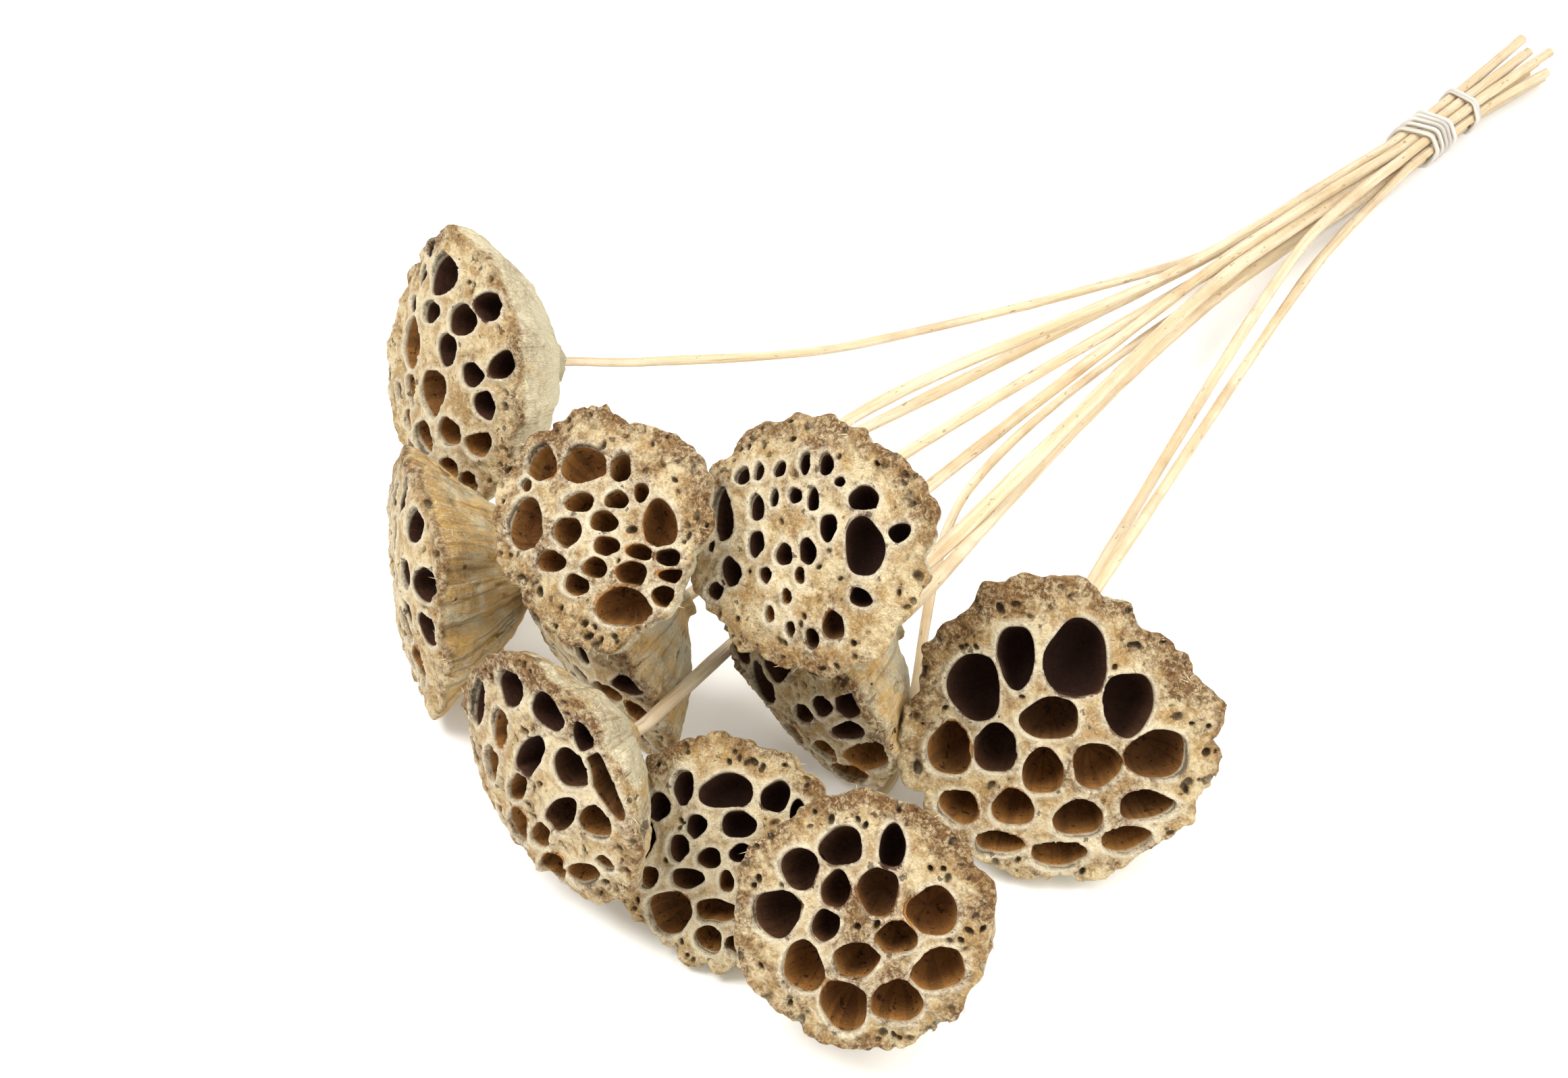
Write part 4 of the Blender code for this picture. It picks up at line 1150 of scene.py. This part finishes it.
def elasticFinish():
    material, bench, shader = newMaterial("elasticFinish")
    place = bench.place()
    fibreVector = bench.attribute("fibre", "Vector")
    fibres = bench.group(fibreGrain, {
        "Vector": fibreVector, "Scale": 1500.0, "Drawn Out": (1.0, 1.0, 0.12)})
    tone = bench.span(fibres["Coarse"], 0.35, 0.68)
    colour = bench.mix(tone, elasticColours["shade"], elasticColours["cord"])
    dust = bench.span(bench.noise(place, 260.0, 4.0, 0.6), 0.5, 0.75)
    colour = bench.mix(bench.times(dust, 0.35), colour, elasticColours["shade"])
    bench.feed(shader["Base Color"], colour)
    rough = bench.span(fibres["Fibre"], 0.3, 0.7, 0.42, 0.62)
    bench.feed(shader["Roughness"], rough)
    normal = bench.bump(fibres["Fibre"], 0.4, 0.0004)
    bench.feed(shader["Normal"], normal)
    return material


sweptRod = buildSweepTree()
straw = strawFinish()
for number, (stemName, stemSpec) in enumerate(stemSpecs.items()):
    podSpec = podSpecs[stemName.replace("stem", "pod")]
    route = smoothRoute(stemRoute(podSpec, stemSpec), bundleForm["routeStep"])
    rod = bakeTree(stemName + "Straw", lineMesh(stemName + "Line", route), sweptRod, {
        "Radius": stemSpec["radius"] * mm, "Step": 0.0016, "Groove Depth": 0.0003 * stemSpec["radius"],
        "Grooves": 1.5, "Flatness": stemSpec["flat"], "Unevenness": 0.16, "Twist": 0.6,
        "Offset": number * 1.7, "Sides": 22, "Material": straw})
    stem = addObject(stemName + "Straw", rod)
    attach(stem, "root")
    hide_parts(stemName)
print("stems ready")


# the elastic ties
tieSpecs = {
    "tie_wound": {"start": 2.0, "width": 20.0, "turns": 4.6, "cord": 1.15, "lean": 4.0, "wander": 1.3},
    "tie_single": {"start": 44.0, "width": 3.4, "turns": 2.0, "cord": 0.95, "lean": -3.0, "wander": 0.5},
}


def bundleOutline(reach):
    # the rounded outline of the stems where the tie holds them, mm across and height
    rim = []
    for spec in stemSpecs.values():
        across, height = bundlePlace(spec)
        for step in range(bundleForm["outlineSteps"]):
            angle = 2 * math.pi * step / bundleForm["outlineSteps"]
            size = spec["radius"] + reach
            rim.append(Vector((across + size * math.cos(angle), height + size * math.sin(angle))))
    hull = [rim[i] for i in convex_hull_2d(rim)]
    closed = hull + hull[:1]
    lengths = np.cumsum([0] + [(b - a).length for a, b in zip(closed, closed[1:])])
    return closed, lengths


def outlinePoint(closed, lengths, share):
    place = share % 1.0 * lengths[-1]
    x = np.interp(place, lengths, [point.x for point in closed])
    height = np.interp(place, lengths, [point.y for point in closed])
    return float(x), float(height)


def cordRoute(spec):
    along, side = bundleAxes()
    closed, lengths = bundleOutline(0.3 + spec["cord"])
    middle = sum((point.x for point in closed), 0.0) / len(closed)
    count = int(bundleForm["cordSteps"] * spec["turns"])
    route = []
    for step in range(count + 1):
        share = step / count
        x, height = outlinePoint(closed, lengths, share * spec["turns"])
        lean = spec["lean"] * (x - middle) / bundleForm["halfWidth"]
        reach = spec["start"] + spec["width"] * share + lean
        reach += spec["wander"] * math.sin(5.3 * share * spec["turns"] + 1.0)
        spot = bundleForm["tieStart"] + side * x + along * reach
        route.append(Vector((spot.x, spot.y, height)))
    return route


elastic = elasticFinish()
for tieName, tieSpec in tieSpecs.items():
    cord = bakeTree(tieName + "Cord", lineMesh(tieName + "Line", cordRoute(tieSpec)), sweptRod, {
        "Radius": tieSpec["cord"] * mm, "Step": 0.0007, "Groove Depth": 0.00012, "Grooves": 2.5,
        "Flatness": 0.12, "Unevenness": 0.1, "Twist": 0.0, "Offset": 3.1, "Sides": 16, "Material": elastic})
    tie = addObject(tieName + "Cord", cord)
    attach(tie, "root")
    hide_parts(tieName)
print("ties ready")


# stray fibres on the rims and funnels
def buildFrayTree():
    # short slivers scattered where the Fray attribute is high, leaning out along the surface
    tree, bench, given, result = newTree("frayedFibres", {
        "Geometry": "Geometry", "Density": 9000.0, "Length": 0.0022, "Thickness": 0.00016, "Seed": 0,
        "Material": "Material"}, {"Geometry": "Geometry"}, "GeometryNodeTree")
    fray = bench.add("GeometryNodeInputNamedAttribute", {"Name": "fray"}, data_type="FLOAT")
    density = bench.times(fray.outputs["Attribute"], given["Density"])
    spots = bench.add("GeometryNodeDistributePointsOnFaces", {
        "Mesh": given["Geometry"], "Density": density, "Seed": given["Seed"]})
    sliver = bench.add("GeometryNodeMeshCone", {
        "Vertices": 5, "Radius Bottom": given["Thickness"], "Depth": given["Length"]})
    lean = bench.add("FunctionNodeRandomValue", {
        "Min": (-1.1, -1.1, 0.0), "Max": (1.1, 1.1, wholeTurn), "Seed": 3}, data_type="FLOAT_VECTOR")
    turned = bench.add("FunctionNodeRotateEuler", {
        "Rotation": spots.outputs["Rotation"], "Rotate By": lean.outputs["Value"]}, space="LOCAL")
    size = bench.add("FunctionNodeRandomValue", {2: 0.4, 3: 1.3, "Seed": 5}, data_type="FLOAT")
    placed = bench.add("GeometryNodeInstanceOnPoints", {
        "Points": spots.outputs["Points"], "Instance": sliver.outputs["Mesh"],
        "Rotation": turned.outputs["Rotation"], "Scale": size.outputs[1]})
    bench.close(placed.outputs["Instances"], given, result)
    return tree


frayForm = {
    "density": 16000.0,   # to the square metre where the pod is fully ragged
    "length": 0.0024,
    "thickness": 0.00014,
}

frayTree = buildFrayTree()
for number, (podName, pod) in enumerate(pods.items()):
    slivers = bakeTree(podName + "Fibres", pod.data, frayTree, {
        "Density": frayForm["density"] * podLooks[podName]["ragged"], "Length": frayForm["length"],
        "Thickness": frayForm["thickness"], "Seed": number, "Material": straw})
    fibre = addObject(podName + "Fibres", slivers)
    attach(fibre, "root")
    print(podName, "stray fibres:", len(slivers.polygons))
print("stray fibres ready")
